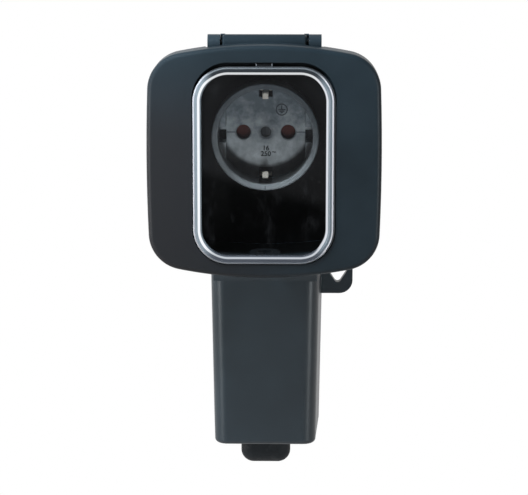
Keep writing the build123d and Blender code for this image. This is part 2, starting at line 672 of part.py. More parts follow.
def make_socket_face():
    """The outlet's face: a round turret with the plug recess, pin holes, side lands and clip slots."""
    face = rod(0, SOCKET_Z, RING_R, FLANGE_REAR, RING_FRONT)
    face += rod(0, SOCKET_Z, FLANGE_R, FLANGE_REAR, FLANGE_FRONT)
    recess = rod(0, SOCKET_Z, RECESS_R, RECESS_FLOOR, RING_FRONT + PAST)
    half = LAND_SLOT / 2
    for side in (-1, 1):
        near = side * LAND_X
        far = side * RING_R
        land = block(near, far, FACE_REAR, LAND_FRONT, SOCKET_Z - RING_R, SOCKET_Z + RING_R)
        land -= block(near - side * PAST, far, FACE_REAR, RING_FRONT, SOCKET_Z - half, SOCKET_Z + half)
        recess -= land
        low = SOCKET_Z - half
        pocket = RECESS_FLOOR - LAND_POCKET
        recess += block(near, side * RECESS_R, pocket, LAND_FRONT, low, low + LAND_POCKET_TALL)
    face -= recess
    face -= rod(0, SOCKET_Z, SKIRT_R, FLANGE_REAR - PAST, FACE_REAR)
    rim = face.faces().sort_by(Axis.Y)[0]
    face = chamfer(rim.edges(), RING_EDGE)
    for x in (-PIN_PITCH / 2, PIN_PITCH / 2):
        face -= rod(x, SOCKET_Z, PIN_HOLE_R, FACE_REAR - PAST, RECESS_FLOOR + PAST)
        mouth = PIN_HOLE_R + PIN_HOLE_CHAMFER
        lead = Plane.XZ.offset(RECESS_FLOOR) * Pos(x, SOCKET_Z) * Circle(mouth)
        face -= extrude(lead, amount=-2 * PIN_HOLE_CHAMFER, taper=45)
    for side in (-1, 1):
        near = SOCKET_Z + side * (RECESS_R - CLIP_SLOT_IN)
        far = SOCKET_Z + side * (RING_R - CLIP_SLOT_WALL)
        end = SOCKET_Z + side * (SKIRT_R - CLIP_SLOT_SINK)
        sunk = RECESS_FLOOR - CLIP_SLOT_SINK
        face -= block(-CLIP_SLOT_HALF, CLIP_SLOT_HALF, sunk, CLIP_SLOT_FRONT, near, far)
        face -= block(-CLIP_SLOT_HALF, CLIP_SLOT_HALF, FACE_REAR - PAST, RECESS_FLOOR, near, end)
    well = CENTRE_HEAD_R + CENTRE_CLEAR
    face -= rod(0, SOCKET_Z, well, RECESS_FLOOR - CENTRE_SINK, RECESS_FLOOR + PAST)
    funnel = Plane.XZ.offset(RECESS_FLOOR) * Pos(0, SOCKET_Z) * Circle(well + CENTRE_MOUTH)
    face -= extrude(funnel, amount=-CENTRE_MOUTH, taper=45)
    face -= rod(0, SOCKET_Z, CENTRE_SCREW_R + SCREW_PASS, FACE_REAR - PAST, RECESS_FLOOR)
    for x in (-INSERT_SCREW_X, INSERT_SCREW_X):
        face -= rod(x, SOCKET_Z, INSERT_SCREW_R + SCREW_PASS, FLANGE_REAR - PAST, FLANGE_FRONT + PAST)
    return face


def make_socket_base():
    """The insulating base behind the face, with pockets for the contacts and a post for the shutter."""
    base = rod(0, SOCKET_Z, BASE_R, BASE_REAR, FACE_REAR)
    base -= rod(0, SOCKET_Z, BASE_RIM_IN, BASE_FRONT, FACE_REAR + PAST)
    base += rod(0, SOCKET_Z, POST_R, BASE_FRONT, FACE_REAR)
    for side in (-1, 1):
        x = side * PIN_PITCH / 2
        base -= rod(x, SOCKET_Z, SLEEVE_POCKET_R, SLEEVE_REAR - ARM_CLEAR, FACE_REAR + PAST)
        outer = side * (ARM_END + ARM_CLEAR)
        low = SOCKET_Z - ARM_HALF - ARM_CLEAR
        high = SOCKET_Z + ARM_HALF + ARM_CLEAR
        base -= block(x, outer, BASE_REAR - PAST, ARM_FRONT + ARM_CLEAR, low, high)
        notch_in = SOCKET_Z + side * (EARTH_LEG - EARTH_THICK - EARTH_CLEAR)
        notch_out = SOCKET_Z + side * (BASE_R + PAST)
        half = EARTH_HALF + EARTH_CLEAR
        base -= block(-half, half, BASE_REAR - PAST, FACE_REAR + PAST, notch_in, notch_out)
    base -= rod(0, SOCKET_Z, CENTRE_SCREW_R + SCREW_FIT, BASE_REAR + CENTRE_BLIND, FACE_REAR + PAST)
    hole_end = BASE_REAR + EARTH_SCREW_LENGTH + SCREW_PASS
    base -= rod(0, EARTH_SCREW_Z, TERMINAL_SCREW_R + SCREW_FIT, BASE_REAR - PAST, hole_end)
    seat_low = SOCKET_Z + LEAF_SEAT_Z
    seat_high = seat_low + LEAF_SEAT_TALL
    base += block(-LEAF_SEAT_X, -LEAF_SEAT_END, BASE_FRONT, FACE_REAR - LEAF_SIDE, seat_low, seat_high)
    return base


def make_shutter():
    """The turning shutter: two blades on a hub that close the pin holes."""
    wings = Circle(SHUTTER_R)
    edge = SHUTTER_R * 2
    angle = math.radians(SHUTTER_HALF_ANGLE)
    fan = Polyline((0, 0), (edge, edge * math.tan(angle)), (edge, -edge * math.tan(angle)), close=True)
    blades = make_face(fan) + Rot(0, 0, 180) * make_face(fan)
    shape = (wings & blades) + Circle(SHUTTER_HUB_R)
    shape -= Circle(POST_R + PIN_RUNNING)
    rear = BASE_FRONT + SHUTTER_CLEAR
    return slab(Pos(0, SOCKET_Z) * shape, rear, rear + SHUTTER_THICK)


def make_shutter_spring():
    """The leaf that turns the shutter back over the pin holes."""
    rear = BASE_FRONT + SHUTTER_CLEAR
    angle = math.radians(180 - SHUTTER_HALF_ANGLE)
    start = Vector(-LEAF_SEAT_X - LEAF_THICK / 2, LEAF_SEAT_Z + LEAF_SEAT_TALL / 2)
    edge = Vector(math.cos(angle), math.sin(angle)) * LEAF_REACH
    tip = edge + Vector(math.sin(angle), -math.cos(angle)) * (LEAF_THICK / 2 + SHUTTER_CLEAR)
    line = tip - start
    side = Vector(-line.Y, line.X).normalized() * (LEAF_THICK / 2)
    corners = [start + side, tip + side, tip - side, start - side]
    shape = make_face(Polyline([(p.X, p.Y) for p in corners], close=True))
    return slab(Pos(0, SOCKET_Z) * shape, rear + LEAF_SIDE, rear + SHUTTER_THICK - LEAF_SIDE)


def make_contact(side):
    """One split contact sleeve with the arm that takes its terminal screw."""
    x = side * PIN_PITCH / 2
    front = BASE_FRONT - SLEEVE_DROP
    sleeve = rod(x, SOCKET_Z, SLEEVE_R, SLEEVE_REAR, front)
    arm = block(x, side * ARM_END, SLEEVE_REAR, ARM_FRONT, SOCKET_Z - ARM_HALF, SOCKET_Z + ARM_HALF)
    contact = sleeve + arm
    contact -= rod(x, SOCKET_Z, SLEEVE_BORE_R, SLEEVE_REAR - PAST, front + PAST)
    half = SLEEVE_SLIT / 2
    foot = ARM_FRONT + SLEEVE_SLIT_FOOT
    ends = SLEEVE_R + PAST
    contact -= block(x - half, x + half, foot, front + PAST, SOCKET_Z - ends, SOCKET_Z + ends)
    return contact - rod(side * ARM_SCREW_X, SOCKET_Z, TERMINAL_SCREW_R + SCREW_FIT, 0, ARM_FRONT + PAST)


def make_earth_clip():
    """The bent earth strap: a bar behind the base and two sprung legs that reach into the recess."""
    rear = BASE_REAR - EARTH_THICK
    leg_in = EARTH_LEG - EARTH_THICK
    strap = block(-EARTH_HALF, EARTH_HALF, rear, BASE_REAR, SOCKET_Z - EARTH_LEG, SOCKET_Z + EARTH_LEG)
    bend = RECESS_FLOOR + EARTH_BEND
    crest = RECESS_FLOOR + EARTH_CREST
    tip = RECESS_FLOOR + EARTH_TIP
    lip = EARTH_THICK * math.sqrt(0.5)
    flare = EARTH_LEG - EARTH_BACK
    for side in (-1, 1):
        inner = SOCKET_Z + side * leg_in
        outer = SOCKET_Z + side * EARTH_LEG
        strap += block(-EARTH_HALF, EARTH_HALF, rear, RECESS_FLOOR, inner, outer)
        finger = Polyline(
            (-RECESS_FLOOR, outer),
            (-bend, outer),
            (-crest + EARTH_THICK / 2, SOCKET_Z + side * (EARTH_TIP_IN + EARTH_THICK)),
            (-tip, SOCKET_Z + side * flare),
            (-tip - lip, SOCKET_Z + side * (flare - lip)),
            (-crest, SOCKET_Z + side * EARTH_TIP_IN),
            (-bend, inner),
            (-RECESS_FLOOR, inner),
            close=True,
        )
        strap += bar(make_face(finger), -EARTH_FINGER_HALF, EARTH_FINGER_HALF)
    return strap - rod(0, EARTH_SCREW_Z, TERMINAL_SCREW_R + SCREW_FIT, 0, BASE_REAR + PAST)


def make_centre_screw():
    """The screw in the middle of the recess that holds the face on its base."""
    tip = BASE_REAR + CENTRE_BLIND + SCREW_TIP
    seat = RECESS_FLOOR - CENTRE_SINK
    return slotted_screw(0, SOCKET_Z, CENTRE_SCREW_R, tip, seat, CENTRE_HEAD_R, CENTRE_HEAD)


def make_terminal_screws():
    """Screws of the two contact arms and of the earth strap, driven from behind."""
    screws = []
    for x in (-ARM_SCREW_X, ARM_SCREW_X):
        shank = rod(x, SOCKET_Z, TERMINAL_SCREW_R, SLEEVE_REAR, ARM_FRONT)
        screws.append(shank + rod(x, SOCKET_Z, TERMINAL_HEAD_R, SLEEVE_REAR - TERMINAL_HEAD, SLEEVE_REAR))
    rear = BASE_REAR - EARTH_THICK
    shank = rod(0, EARTH_SCREW_Z, TERMINAL_SCREW_R, rear, BASE_REAR + EARTH_SCREW_LENGTH)
    screws.append(shank + rod(0, EARTH_SCREW_Z, TERMINAL_HEAD_R, rear - TERMINAL_HEAD, rear))
    return Compound(children=screws)


def make_insert_gasket():
    """The ring that seals the outlet's flange against the back of the socket floor."""
    shape = Pos(0, SOCKET_Z) * (Circle(FLANGE_R) - Circle(RING_R + TURRET_CLEAR))
    ring = slab(shape, FLANGE_FRONT, FLOOR_REAR)
    for x in (-INSERT_SCREW_X, INSERT_SCREW_X):
        ring -= rod(x, SOCKET_Z, INSERT_SCREW_R + SCREW_PASS, FLANGE_FRONT - PAST, FLOOR_REAR + PAST)
    return ring


def make_insert_screws():
    """Two screws that pull the outlet's flange to the socket floor from behind."""
    tip = FLOOR_FRONT - SCREW_BLIND - SCREW_TIP
    screws = []
    for x in (-INSERT_SCREW_X, INSERT_SCREW_X):
        shank = rod(x, SOCKET_Z, INSERT_SCREW_R, FLANGE_REAR, tip)
        screws.append(shank + rod(x, SOCKET_Z, INSERT_HEAD_R, FLANGE_REAR - INSERT_HEAD, FLANGE_REAR))
    return Compound(children=screws)


def make_terminal_block():
    """The three-pole block that joins the supply cable to the outlet."""
    half_w = BLOCK_WIDTH / 2
    half_h = BLOCK_HEIGHT / 2
    body = block(-half_w, half_w, BLOCK_REAR, BLOCK_FRONT, BLOCK_Z - half_h, BLOCK_Z + half_h)
    body = chamfer(body.edges().filter_by(Axis.Z), BLOCK_EDGE)
    low = BLOCK_Z - half_h - PAST
    high = BLOCK_Z + half_h + PAST
    for pole in (-1, 0, 1):
        x = pole * POLE_PITCH
        body -= pile(Pos(x, -BLOCK_MIDDLE) * Circle(POLE_R + SCREW_FIT), low, high)
        for z in (BLOCK_Z - POLE_SCREW_DZ, BLOCK_Z + POLE_SCREW_DZ):
            body -= rod(x, z, POLE_SCREW_R + POLE_SCREW_CLEAR, BLOCK_MIDDLE, BLOCK_FRONT + PAST)
    for x in (-POLE_PITCH / 2, POLE_PITCH / 2):
        body -= rod(x, BLOCK_Z, PEG_R + SCREW_FIT, BLOCK_REAR - PAST, BLOCK_REAR + PEG_HEIGHT + PEG_GAP)
    return body


def make_block_tubes():
    """The three brass tubes of the terminal block."""
    half_h = BLOCK_HEIGHT / 2 - POLE_SHORT
    section = Circle(POLE_R) - Circle(POLE_BORE_R)
    tubes = []
    for pole in (-1, 0, 1):
        x = pole * POLE_PITCH
        tube = pile(Pos(x, -BLOCK_MIDDLE) * section, BLOCK_Z - half_h, BLOCK_Z + half_h)
        for z in (BLOCK_Z - POLE_SCREW_DZ, BLOCK_Z + POLE_SCREW_DZ):
            tube -= rod(x, z, POLE_SCREW_R + SCREW_FIT, BLOCK_MIDDLE, BLOCK_FRONT)
        tubes.append(tube)
    return Compound(children=tubes)


def make_block_screws():
    """The clamping screws of the terminal block, two on each pole."""
    top = BLOCK_FRONT - POLE_SCREW_SINK
    half = SLOT_WIDTH / 2
    screws = []
    for pole in (-1, 0, 1):
        for z in (BLOCK_Z - POLE_SCREW_DZ, BLOCK_Z + POLE_SCREW_DZ):
            x = pole * POLE_PITCH
            screw = rod(x, z, POLE_SCREW_R, BLOCK_MIDDLE + POLE_SCREW_SINK, top)
            slot = block(x - half, x + half, top - SLOT_WIDTH, top + PAST, z - POLE_R, z + POLE_R)
            screws.append(screw - slot)
    return Compound(children=screws)


def make_cord_clamp():
    """The bar that grips the supply cable above its entry."""
    half_w = CLAMP_WIDTH / 2
    half_h = CLAMP_HEIGHT / 2
    top = CLAMP_REAR + CLAMP_THICK
    clamp = block(-half_w, half_w, CLAMP_REAR, top, CLAMP_Z - half_h, CLAMP_Z + half_h)
    clamp = fillet(clamp.edges().filter_by(Axis.Y), CLAMP_CORNER_R)
    groove = Pos(0, -CLAMP_REAR + CLAMP_GROOVE_SET) * Circle(CLAMP_GROOVE_R)
    clamp -= pile(groove, CLAMP_Z - half_h - PAST, CLAMP_Z + half_h + PAST)
    for x in (-CLAMP_SCREW_X, CLAMP_SCREW_X):
        clamp -= rod(x, CLAMP_Z, CLAMP_SCREW_R + SCREW_PASS, CLAMP_REAR - PAST, top + PAST)
    return clamp


def make_clamp_screws():
    """Two screws that draw the clamp bar down on its bosses."""
    tip = PLATE_THICK + SCREW_BLIND + SCREW_TIP
    seat = CLAMP_REAR + CLAMP_THICK
    screws = []
    for x in (-CLAMP_SCREW_X, CLAMP_SCREW_X):
        screws.append(slotted_screw(x, CLAMP_Z, CLAMP_SCREW_R, tip, seat, CLAMP_HEAD_R, CLAMP_HEAD))
    return Compound(children=screws)


def make_cable_boot():
    """The closed rubber entry under the body, cut open to the cable's size when it is fitted."""
    depth = BOOT_DEPTH
    centre = Pos(0, -BOOT_MIDDLE)
    outside_top = BODY_BOTTOM_Z
    inside = BODY_BOTTOM_Z + BODY_WALL
    nose = pile(centre * RectangleRounded(BOOT_WIDTH, depth, BOOT_CORNER_R), BOOT_BOTTOM_Z, outside_top)
    nose = fillet(nose.faces().sort_by(Axis.Z)[0].edges(), BOOT_EDGE_R)
    narrow_r = BOOT_CORNER_R - BOOT_NECK
    neck = RectangleRounded(BOOT_WIDTH - 2 * BOOT_NECK, depth - 2 * BOOT_NECK, narrow_r)
    boot = nose + pile(centre * neck, outside_top, inside)
    flange = RectangleRounded(BOOT_WIDTH, depth, BOOT_CORNER_R)
    boot += pile(centre * flange, inside, inside + BOOT_FLANGE)
    room_w = BOOT_WIDTH - 2 * BOOT_NECK - 2 * BOOT_WALL
    room_d = depth - 2 * BOOT_NECK - 2 * BOOT_WALL
    room = centre * RectangleRounded(room_w, room_d, BOOT_ROOM_R)
    return boot - pile(room, BOOT_BOTTOM_Z + BOOT_WALL, inside + BOOT_FLANGE + PAST)


def make_cord_seal():
    """The split rubber piece that closes the cord outlet around the plug's cord."""
    low = BOX_BOTTOM_Z - PAST
    high = BOX_FLOOR_Z + OUTLET_FLANGE + PAST
    seal = pile(outlet_shape(OUTLET_CLEAR), BOX_BOTTOM_Z, BOX_FLOOR_Z + OUTLET_FLANGE)
    seal += pile(outlet_shape(-OUTLET_FLANGE_OUT), BOX_FLOOR_Z + OUTLET_LIFT, BOX_FLOOR_Z + OUTLET_FLANGE)
    seal -= block(-BOX_WIDTH, BOX_WIDTH, LIP_FRONT, LID_FRONT, low, high)
    seal -= pile(Pos(0, -OUTLET_DEPTH) * Circle(OUTLET_BORE_R), low, high)
    half = OUTLET_SLIT / 2
    return seal - block(-half, half, OUTLET_DEPTH, LID_FRONT, low, high)


def make_hinge_pin():
    """The steel pin of the lid's hinge."""
    pin = axle(PIN_R, -EAR_OUT + PIN_SHORT, EAR_OUT - PIN_SHORT)
    return chamfer(pin.edges(), PIN_CHAMFER)


def make_hinge_spring():
    """The wound spring on the hinge pin that closes the lid, with one leg on the lid and one on the box."""
    turns = COIL_TURNS - REAR_LEG_ANGLE / 360
    coil = Helix(pitch=COIL_PITCH, height=COIL_PITCH * turns, radius=COIL_R)
    front_leg = Line(coil @ 0 - (coil % 0) * FRONT_LEG, coil @ 0)
    rear_leg = Line(coil @ 1, coil @ 1 + (coil % 1) * REAR_LEG)
    path = Wire([front_leg.edge(), coil.edge(), rear_leg.edge()])
    section = Plane(origin=path @ 0, z_dir=path % 0) * Circle(COIL_WIRE_R)
    return Pos(-COIL_HALF, -HINGE_DEPTH, HINGE_Z) * Rot(0, 90, 0) * sweep(section, path=path)


def window_outline(inset):
    """The outline of the window, moved in by an inset."""
    width = WINDOW_WIDTH - 2 * inset
    height = WINDOW_HEIGHT - 2 * inset
    return Pos(0, WINDOW_Z) * RectangleRounded(width, height, WINDOW_CORNER_R - inset)


def window_opening():
    """The opening in the lid, which leaves a groove round the window and more room above it."""
    width = WINDOW_WIDTH + 2 * WINDOW_GROOVE
    height = WINDOW_HEIGHT + WINDOW_GROOVE + WINDOW_GROOVE_TOP
    middle = WINDOW_Z + (WINDOW_GROOVE_TOP - WINDOW_GROOVE) / 2
    return Pos(0, middle) * RectangleRounded(width, height, WINDOW_CORNER_R + WINDOW_GROOVE)


def hook_places():
    """The middle of each window hook and the direction of its barb."""
    side = WINDOW_WIDTH / 2 - LEDGE_WIDTH / 2
    end = WINDOW_HEIGHT / 2 - LEDGE_WIDTH / 2
    places = [(0, WINDOW_Z + end, 0, 1), (0, WINDOW_Z - end, 0, -1)]
    for x in (-side, side):
        for z in (WINDOW_Z - HOOK_SIDE_Z, WINDOW_Z + HOOK_SIDE_Z):
            places.append((x, z, math.copysign(1, x), 0))
    return places


def hook_block(place, extra, barb, start, end):
    """A block around one window hook, widened by an extra and by the reach of the barb."""
    x, z, toward_x, toward_z = place
    long = HOOK_WIDTH / 2 + extra
    thin = HOOK_THICK / 2 + extra
    half_x = thin if toward_x else long
    half_z = thin if toward_z else long
    x0 = x - half_x + min(0, toward_x * barb)
    x1 = x + half_x + max(0, toward_x * barb)
    z0 = z - half_z + min(0, toward_z * barb)
    z1 = z + half_z + max(0, toward_z * barb)
    return block(x0, x1, start, end, z0, z1)


def make_window():
    """The clear window: a pane in a sloped rim, a tab at its top and six hooks behind the lid's ledge."""
    window = slab(window_outline(0), WINDOW_REAR, WINDOW_FRONT)
    face = window.faces().sort_by(Axis.Y)[0]
    window = chamfer(face.edges(), WINDOW_BEVEL)
    drop = WINDOW_FRONT - WINDOW_PANE_DROP
    slope = math.degrees(math.atan(WINDOW_SLOPE / WINDOW_PANE_DROP))
    pane = Plane.XZ.offset(drop) * window_outline(WINDOW_RIM)
    window -= extrude(pane, amount=2 * WINDOW_PANE_DROP, taper=-slope)
    half = HOOK_WIDTH / 2
    top = WINDOW_Z + WINDOW_HEIGHT / 2
    window += block(-half, half, WINDOW_REAR, WINDOW_REAR + TAB_THICK, top - WINDOW_RIM, top + TAB_RISE)
    hook_top = LEDGE_REAR - HOOK_PLAY
    hook_end = hook_top - HOOK_TAIL
    for place in hook_places():
        window += hook_block(place, 0, 0, hook_end, WINDOW_REAR + HOOK_BURY)
        window += hook_block(place, 0, HOOK_BARB, hook_end, hook_top)
    return window


def make_window_gasket():
    """The soft ring under the window's rim."""
    shape = window_outline(WINDOW_GASKET_EDGE) - window_outline(LEDGE_WIDTH - WINDOW_GASKET_EDGE)
    ring = slab(shape, LEDGE_FRONT, WINDOW_REAR)
    for place in hook_places():
        ring -= hook_block(place, HOOK_CLEAR, HOOK_BARB, LEDGE_FRONT - PAST, WINDOW_REAR + PAST)
    return ring


def make_lid():
    """The lid: a crowned cover with a skirt, the window's ledge, the seal's groove and the hinge knuckle."""
    solid = slab(lid_outline(0), LID_REAR, LID_FRONT + PAST)
    dome = Pos(0, LID_CROWN_R - LID_FRONT, LID_Z) * Sphere(LID_CROWN_R)
    solid = solid & dome
    front = solid.faces().sort_by(Axis.Y)[0]
    solid = fillet(front.edges(), LID_EDGE_R)
    lid = solid - slab(lid_outline(LID_WALL), LID_REAR - PAST, LID_INSIDE)
    lid += slab(window_outline(-FRAME_WIDTH), LEDGE_REAR, LID_INSIDE + RIB_BITE)
    groove_out = -SEAL_SIDE
    groove_in = SEAL_WIDTH + SEAL_SIDE
    ring = box_outline(groove_out - SEAL_RIB) - box_outline(groove_in + SEAL_RIB)
    lid += slab(ring, SEAL_RIB_END, LID_INSIDE + RIB_BITE)
    lid -= slab(box_outline(groove_out) - box_outline(groove_in), SEAL_RIB_END - PAST, SEAL_FLOOR)
    lid -= slab(window_outline(LEDGE_WIDTH), LID_REAR, LID_FRONT + PAST)
    lid -= slab(window_opening(), LEDGE_FRONT, LID_FRONT + PAST)
    for place in hook_places():
        lid -= hook_block(place, HOOK_CLEAR, HOOK_BARB, LID_REAR, LEDGE_FRONT + PAST)
    knuckle = axle(BARREL_R, -KNUCKLE_HALF, KNUCKLE_HALF)
    knuckle = chamfer(knuckle.edges(), KNUCKLE_CHAMFER)
    lid += knuckle
    for start, end in ((EAR_IN, EAR_OUT), (-EAR_OUT, -EAR_IN)):
        lid -= axle(BARREL_R + BARREL_CLEAR, start - KNUCKLE_GAP, end + KNUCKLE_GAP)
    lid -= axle(PIN_R + PIN_RUNNING, -EAR_OUT, EAR_OUT)
    lid -= axle(COIL_POCKET_R, -COIL_POCKET_HALF, COIL_POCKET_HALF)
    low = HINGE_Z - BARREL_R - PAST
    high = HINGE_Z - COIL_POCKET_DROP
    rear = HINGE_DEPTH - BARREL_R - PAST
    front = HINGE_DEPTH + COIL_POCKET_FRONT
    lid -= block(-COIL_POCKET_HALF, COIL_POCKET_HALF, rear, front, low, high)
    leg_top = HINGE_Z - COIL_R + COIL_WIRE_R + LEG_CLEAR
    leg_end = HINGE_DEPTH + FRONT_LEG + PAST
    leg_left = -COIL_HALF - LEG_DRIFT - LEG_SLOT_HALF
    leg_right = -COIL_HALF + LEG_SLOT_HALF
    lid -= block(leg_left, leg_right, HINGE_DEPTH, leg_end, low, leg_top)
    return lid


def make_lid_seal():
    """The rubber ring in the lid that closes on the lip of the box."""
    ring = box_outline(SEAL_FIT) - box_outline(SEAL_WIDTH - SEAL_FIT)
    return slab(ring, LIP_FRONT + SEAL_GAP, SEAL_FLOOR)


NODES = {
    "back_plate": make_back_plate,
    "housing": make_housing,
    "housing_gasket": make_housing_gasket,
    "housing_screws": make_housing_screws,
    "socket_face": make_socket_face,
    "socket_base": make_socket_base,
    "shutter": make_shutter,
    "shutter_spring": make_shutter_spring,
    "contact_left": lambda: make_contact(-1),
    "contact_right": lambda: make_contact(1),
    "earth_clip": make_earth_clip,
    "centre_screw": make_centre_screw,
    "terminal_screws": make_terminal_screws,
    "insert_gasket": make_insert_gasket,
    "insert_screws": make_insert_screws,
    "terminal_block": make_terminal_block,
    "block_tubes": make_block_tubes,
    "block_screws": make_block_screws,
    "cord_clamp": make_cord_clamp,
    "clamp_screws": make_clamp_screws,
    "cable_boot": make_cable_boot,
    "cord_seal": make_cord_seal,
    "hinge_pin": make_hinge_pin,
    "hinge_spring": make_hinge_spring,
    "lid": make_lid,
    "window": make_window,
    "window_gasket": make_window_gasket,
    "lid_seal": make_lid_seal,
}

os.makedirs("parts", exist_ok=True)
for name, make in NODES.items():
    export_step(make(), f"parts/{name}.step")
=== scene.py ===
import logging
import math
from dataclasses import dataclass
from enum import Enum
from typing import Any, ClassVar, Dict, List, Optional, Sequence, Tuple, Union

import bmesh
import bpy
from mathutils import Matrix, Vector


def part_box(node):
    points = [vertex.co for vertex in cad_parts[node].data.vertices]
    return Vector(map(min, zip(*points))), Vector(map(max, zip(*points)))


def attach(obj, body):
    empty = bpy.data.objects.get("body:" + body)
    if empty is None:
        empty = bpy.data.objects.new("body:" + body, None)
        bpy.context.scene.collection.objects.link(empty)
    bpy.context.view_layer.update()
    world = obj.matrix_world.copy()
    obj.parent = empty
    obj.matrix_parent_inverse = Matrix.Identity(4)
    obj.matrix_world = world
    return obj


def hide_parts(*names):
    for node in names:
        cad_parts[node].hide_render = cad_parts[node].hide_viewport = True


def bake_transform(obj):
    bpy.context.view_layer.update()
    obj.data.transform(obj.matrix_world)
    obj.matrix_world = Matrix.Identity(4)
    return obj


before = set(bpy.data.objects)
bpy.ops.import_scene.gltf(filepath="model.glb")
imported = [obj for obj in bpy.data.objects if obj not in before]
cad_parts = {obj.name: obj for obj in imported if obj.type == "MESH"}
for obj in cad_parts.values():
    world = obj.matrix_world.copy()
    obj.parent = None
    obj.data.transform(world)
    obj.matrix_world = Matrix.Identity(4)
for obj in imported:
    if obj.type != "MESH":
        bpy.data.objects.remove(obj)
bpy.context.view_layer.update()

LOG = logging.getLogger("weatherproof_socket")

Colour = Tuple[float, float, float]
Point = Tuple[float, float, float]
Pair = Tuple[float, float]
Key = Union[int, str]

# The scene is in metres, and sizes are written in millimetres times MM.
MM = 0.001

BLACK: Colour = (0.0, 0.0, 0.0)
WHITE: Colour = (1.0, 1.0, 1.0)
FORWARD: Point = (0.0, -1.0, 0.0)
NOISE_MIDDLE = 0.5


def srgb(red: int, green: int, blue: int) -> Colour:
    """Turns a colour as a screen shows it into linear light.

    Args:
        red: Red from 0 to 255.
        green: Green from 0 to 255.
        blue: Blue from 0 to 255.

    Returns:
        The three linear values.
    """
    def linear(level: int) -> float:
        """Undoes the screen's curve for one channel."""
        share = level / 255
        return share / 12.92 if share <= 0.04045 else ((share + 0.055) / 1.055) ** 2.4

    return linear(red), linear(green), linear(blue)


class Body(Enum):
    """The rigid bodies that pieces ride on."""

    BASE = "base"
    LID = "lid"
    SHUTTER = "shutter"


class Slot(Enum):
    """The record's material slots."""

    HOUSING = "housing"
    LID = "lid"
    PLATE = "plate"
    CLEAR = "clear"
    OUTLET = "outlet"
    INSULATOR = "insulator"
    SHUTTER = "shutter"
    BRASS = "brass"
    NICKEL = "nickel"
    STEEL = "steel"
    HINGE_STEEL = "hinge_steel"
    RUBBER = "rubber"
    BLOCK = "block"


class RimBand(Enum):
    """The bands of the window's rim, from its edge inwards."""

    OUTER = "outer"
    BEVEL = "bevel"
    FLAT = "flat"
    LINE = "line"


class BandEnd(Enum):
    """The two ends of a band, by their place in its reach."""

    START = 0
    END = 1


class Wire:
    """One output socket of a shader, which adds Math nodes as it is used in sums."""

    def __init__(self, tree: "ShaderTree", socket: bpy.types.NodeSocket) -> None:
        """Keeps the socket and the tree that it belongs to."""
        self.tree = tree
        self.socket = socket

    def pick(self, output: Key) -> "Wire":
        """Gives another output of the same node."""
        return Wire(self.tree, self.socket.node.outputs[output])

    def _math(self, operation: str, first: "Value", second: "Value" = 0.0) -> "Wire":
        """Adds a Math node for two values."""
        return self.tree.node("ShaderNodeMath", {"operation": operation}, {0: first, 1: second})

    def __add__(self, other: "Value") -> "Wire":
        """Adds two values."""
        return self._math("ADD", self, other)

    def __radd__(self, other: "Value") -> "Wire":
        """Adds to a number in front."""
        return self._math("ADD", other, self)

    def __sub__(self, other: "Value") -> "Wire":
        """Takes a value away."""
        return self._math("SUBTRACT", self, other)

    def __rsub__(self, other: "Value") -> "Wire":
        """Takes this away from a number in front."""
        return self._math("SUBTRACT", other, self)

    def __mul__(self, other: "Value") -> "Wire":
        """Multiplies two values."""
        return self._math("MULTIPLY", self, other)

    def __rmul__(self, other: "Value") -> "Wire":
        """Multiplies a number in front."""
        return self._math("MULTIPLY", other, self)

    def __truediv__(self, other: "Value") -> "Wire":
        """Divides by a value."""
        return self._math("DIVIDE", self, other)

    def __rtruediv__(self, other: "Value") -> "Wire":
        """Divides a number in front."""
        return self._math("DIVIDE", other, self)

    def __pow__(self, power: "Value") -> "Wire":
        """Raises to a power."""
        return self._math("POWER", self, power)

    def __rpow__(self, base: "Value") -> "Wire":
        """Raises a number in front to this power."""
        return self._math("POWER", base, self)

    def __neg__(self) -> "Wire":
        """Turns the sign round."""
        return self._math("MULTIPLY", self, -1.0)

    def __abs__(self) -> "Wire":
        """Drops the sign."""
        return self._math("ABSOLUTE", self)

    def at_least(self, floor: "Value") -> "Wire":
        """Gives the larger of two values."""
        return self._math("MAXIMUM", self, floor)

    def at_most(self, ceiling: "Value") -> "Wire":
        """Gives the smaller of two values."""
        return self._math("MINIMUM", self, ceiling)

    def rise(self, low: float, high: float) -> "Wire":
        """Goes smoothly from 0 to 1.

        Args:
            low: The value at which it leaves 0.
            high: The value at which it reaches 1.

        Returns:
            The smooth step.
        """
        settings = {"interpolation_type": "SMOOTHSTEP"}
        inputs = {"Value": self, "From Min": low, "From Max": high}
        return self.tree.node("ShaderNodeMapRange", settings, inputs)


Value = Union[float, Wire]


@dataclass(frozen=True)
class Speckle:
    """A noise pattern: the width of its lumps, its finer layers and how strong they are."""

    size: float
    layers: float
    strength: float = 0.5


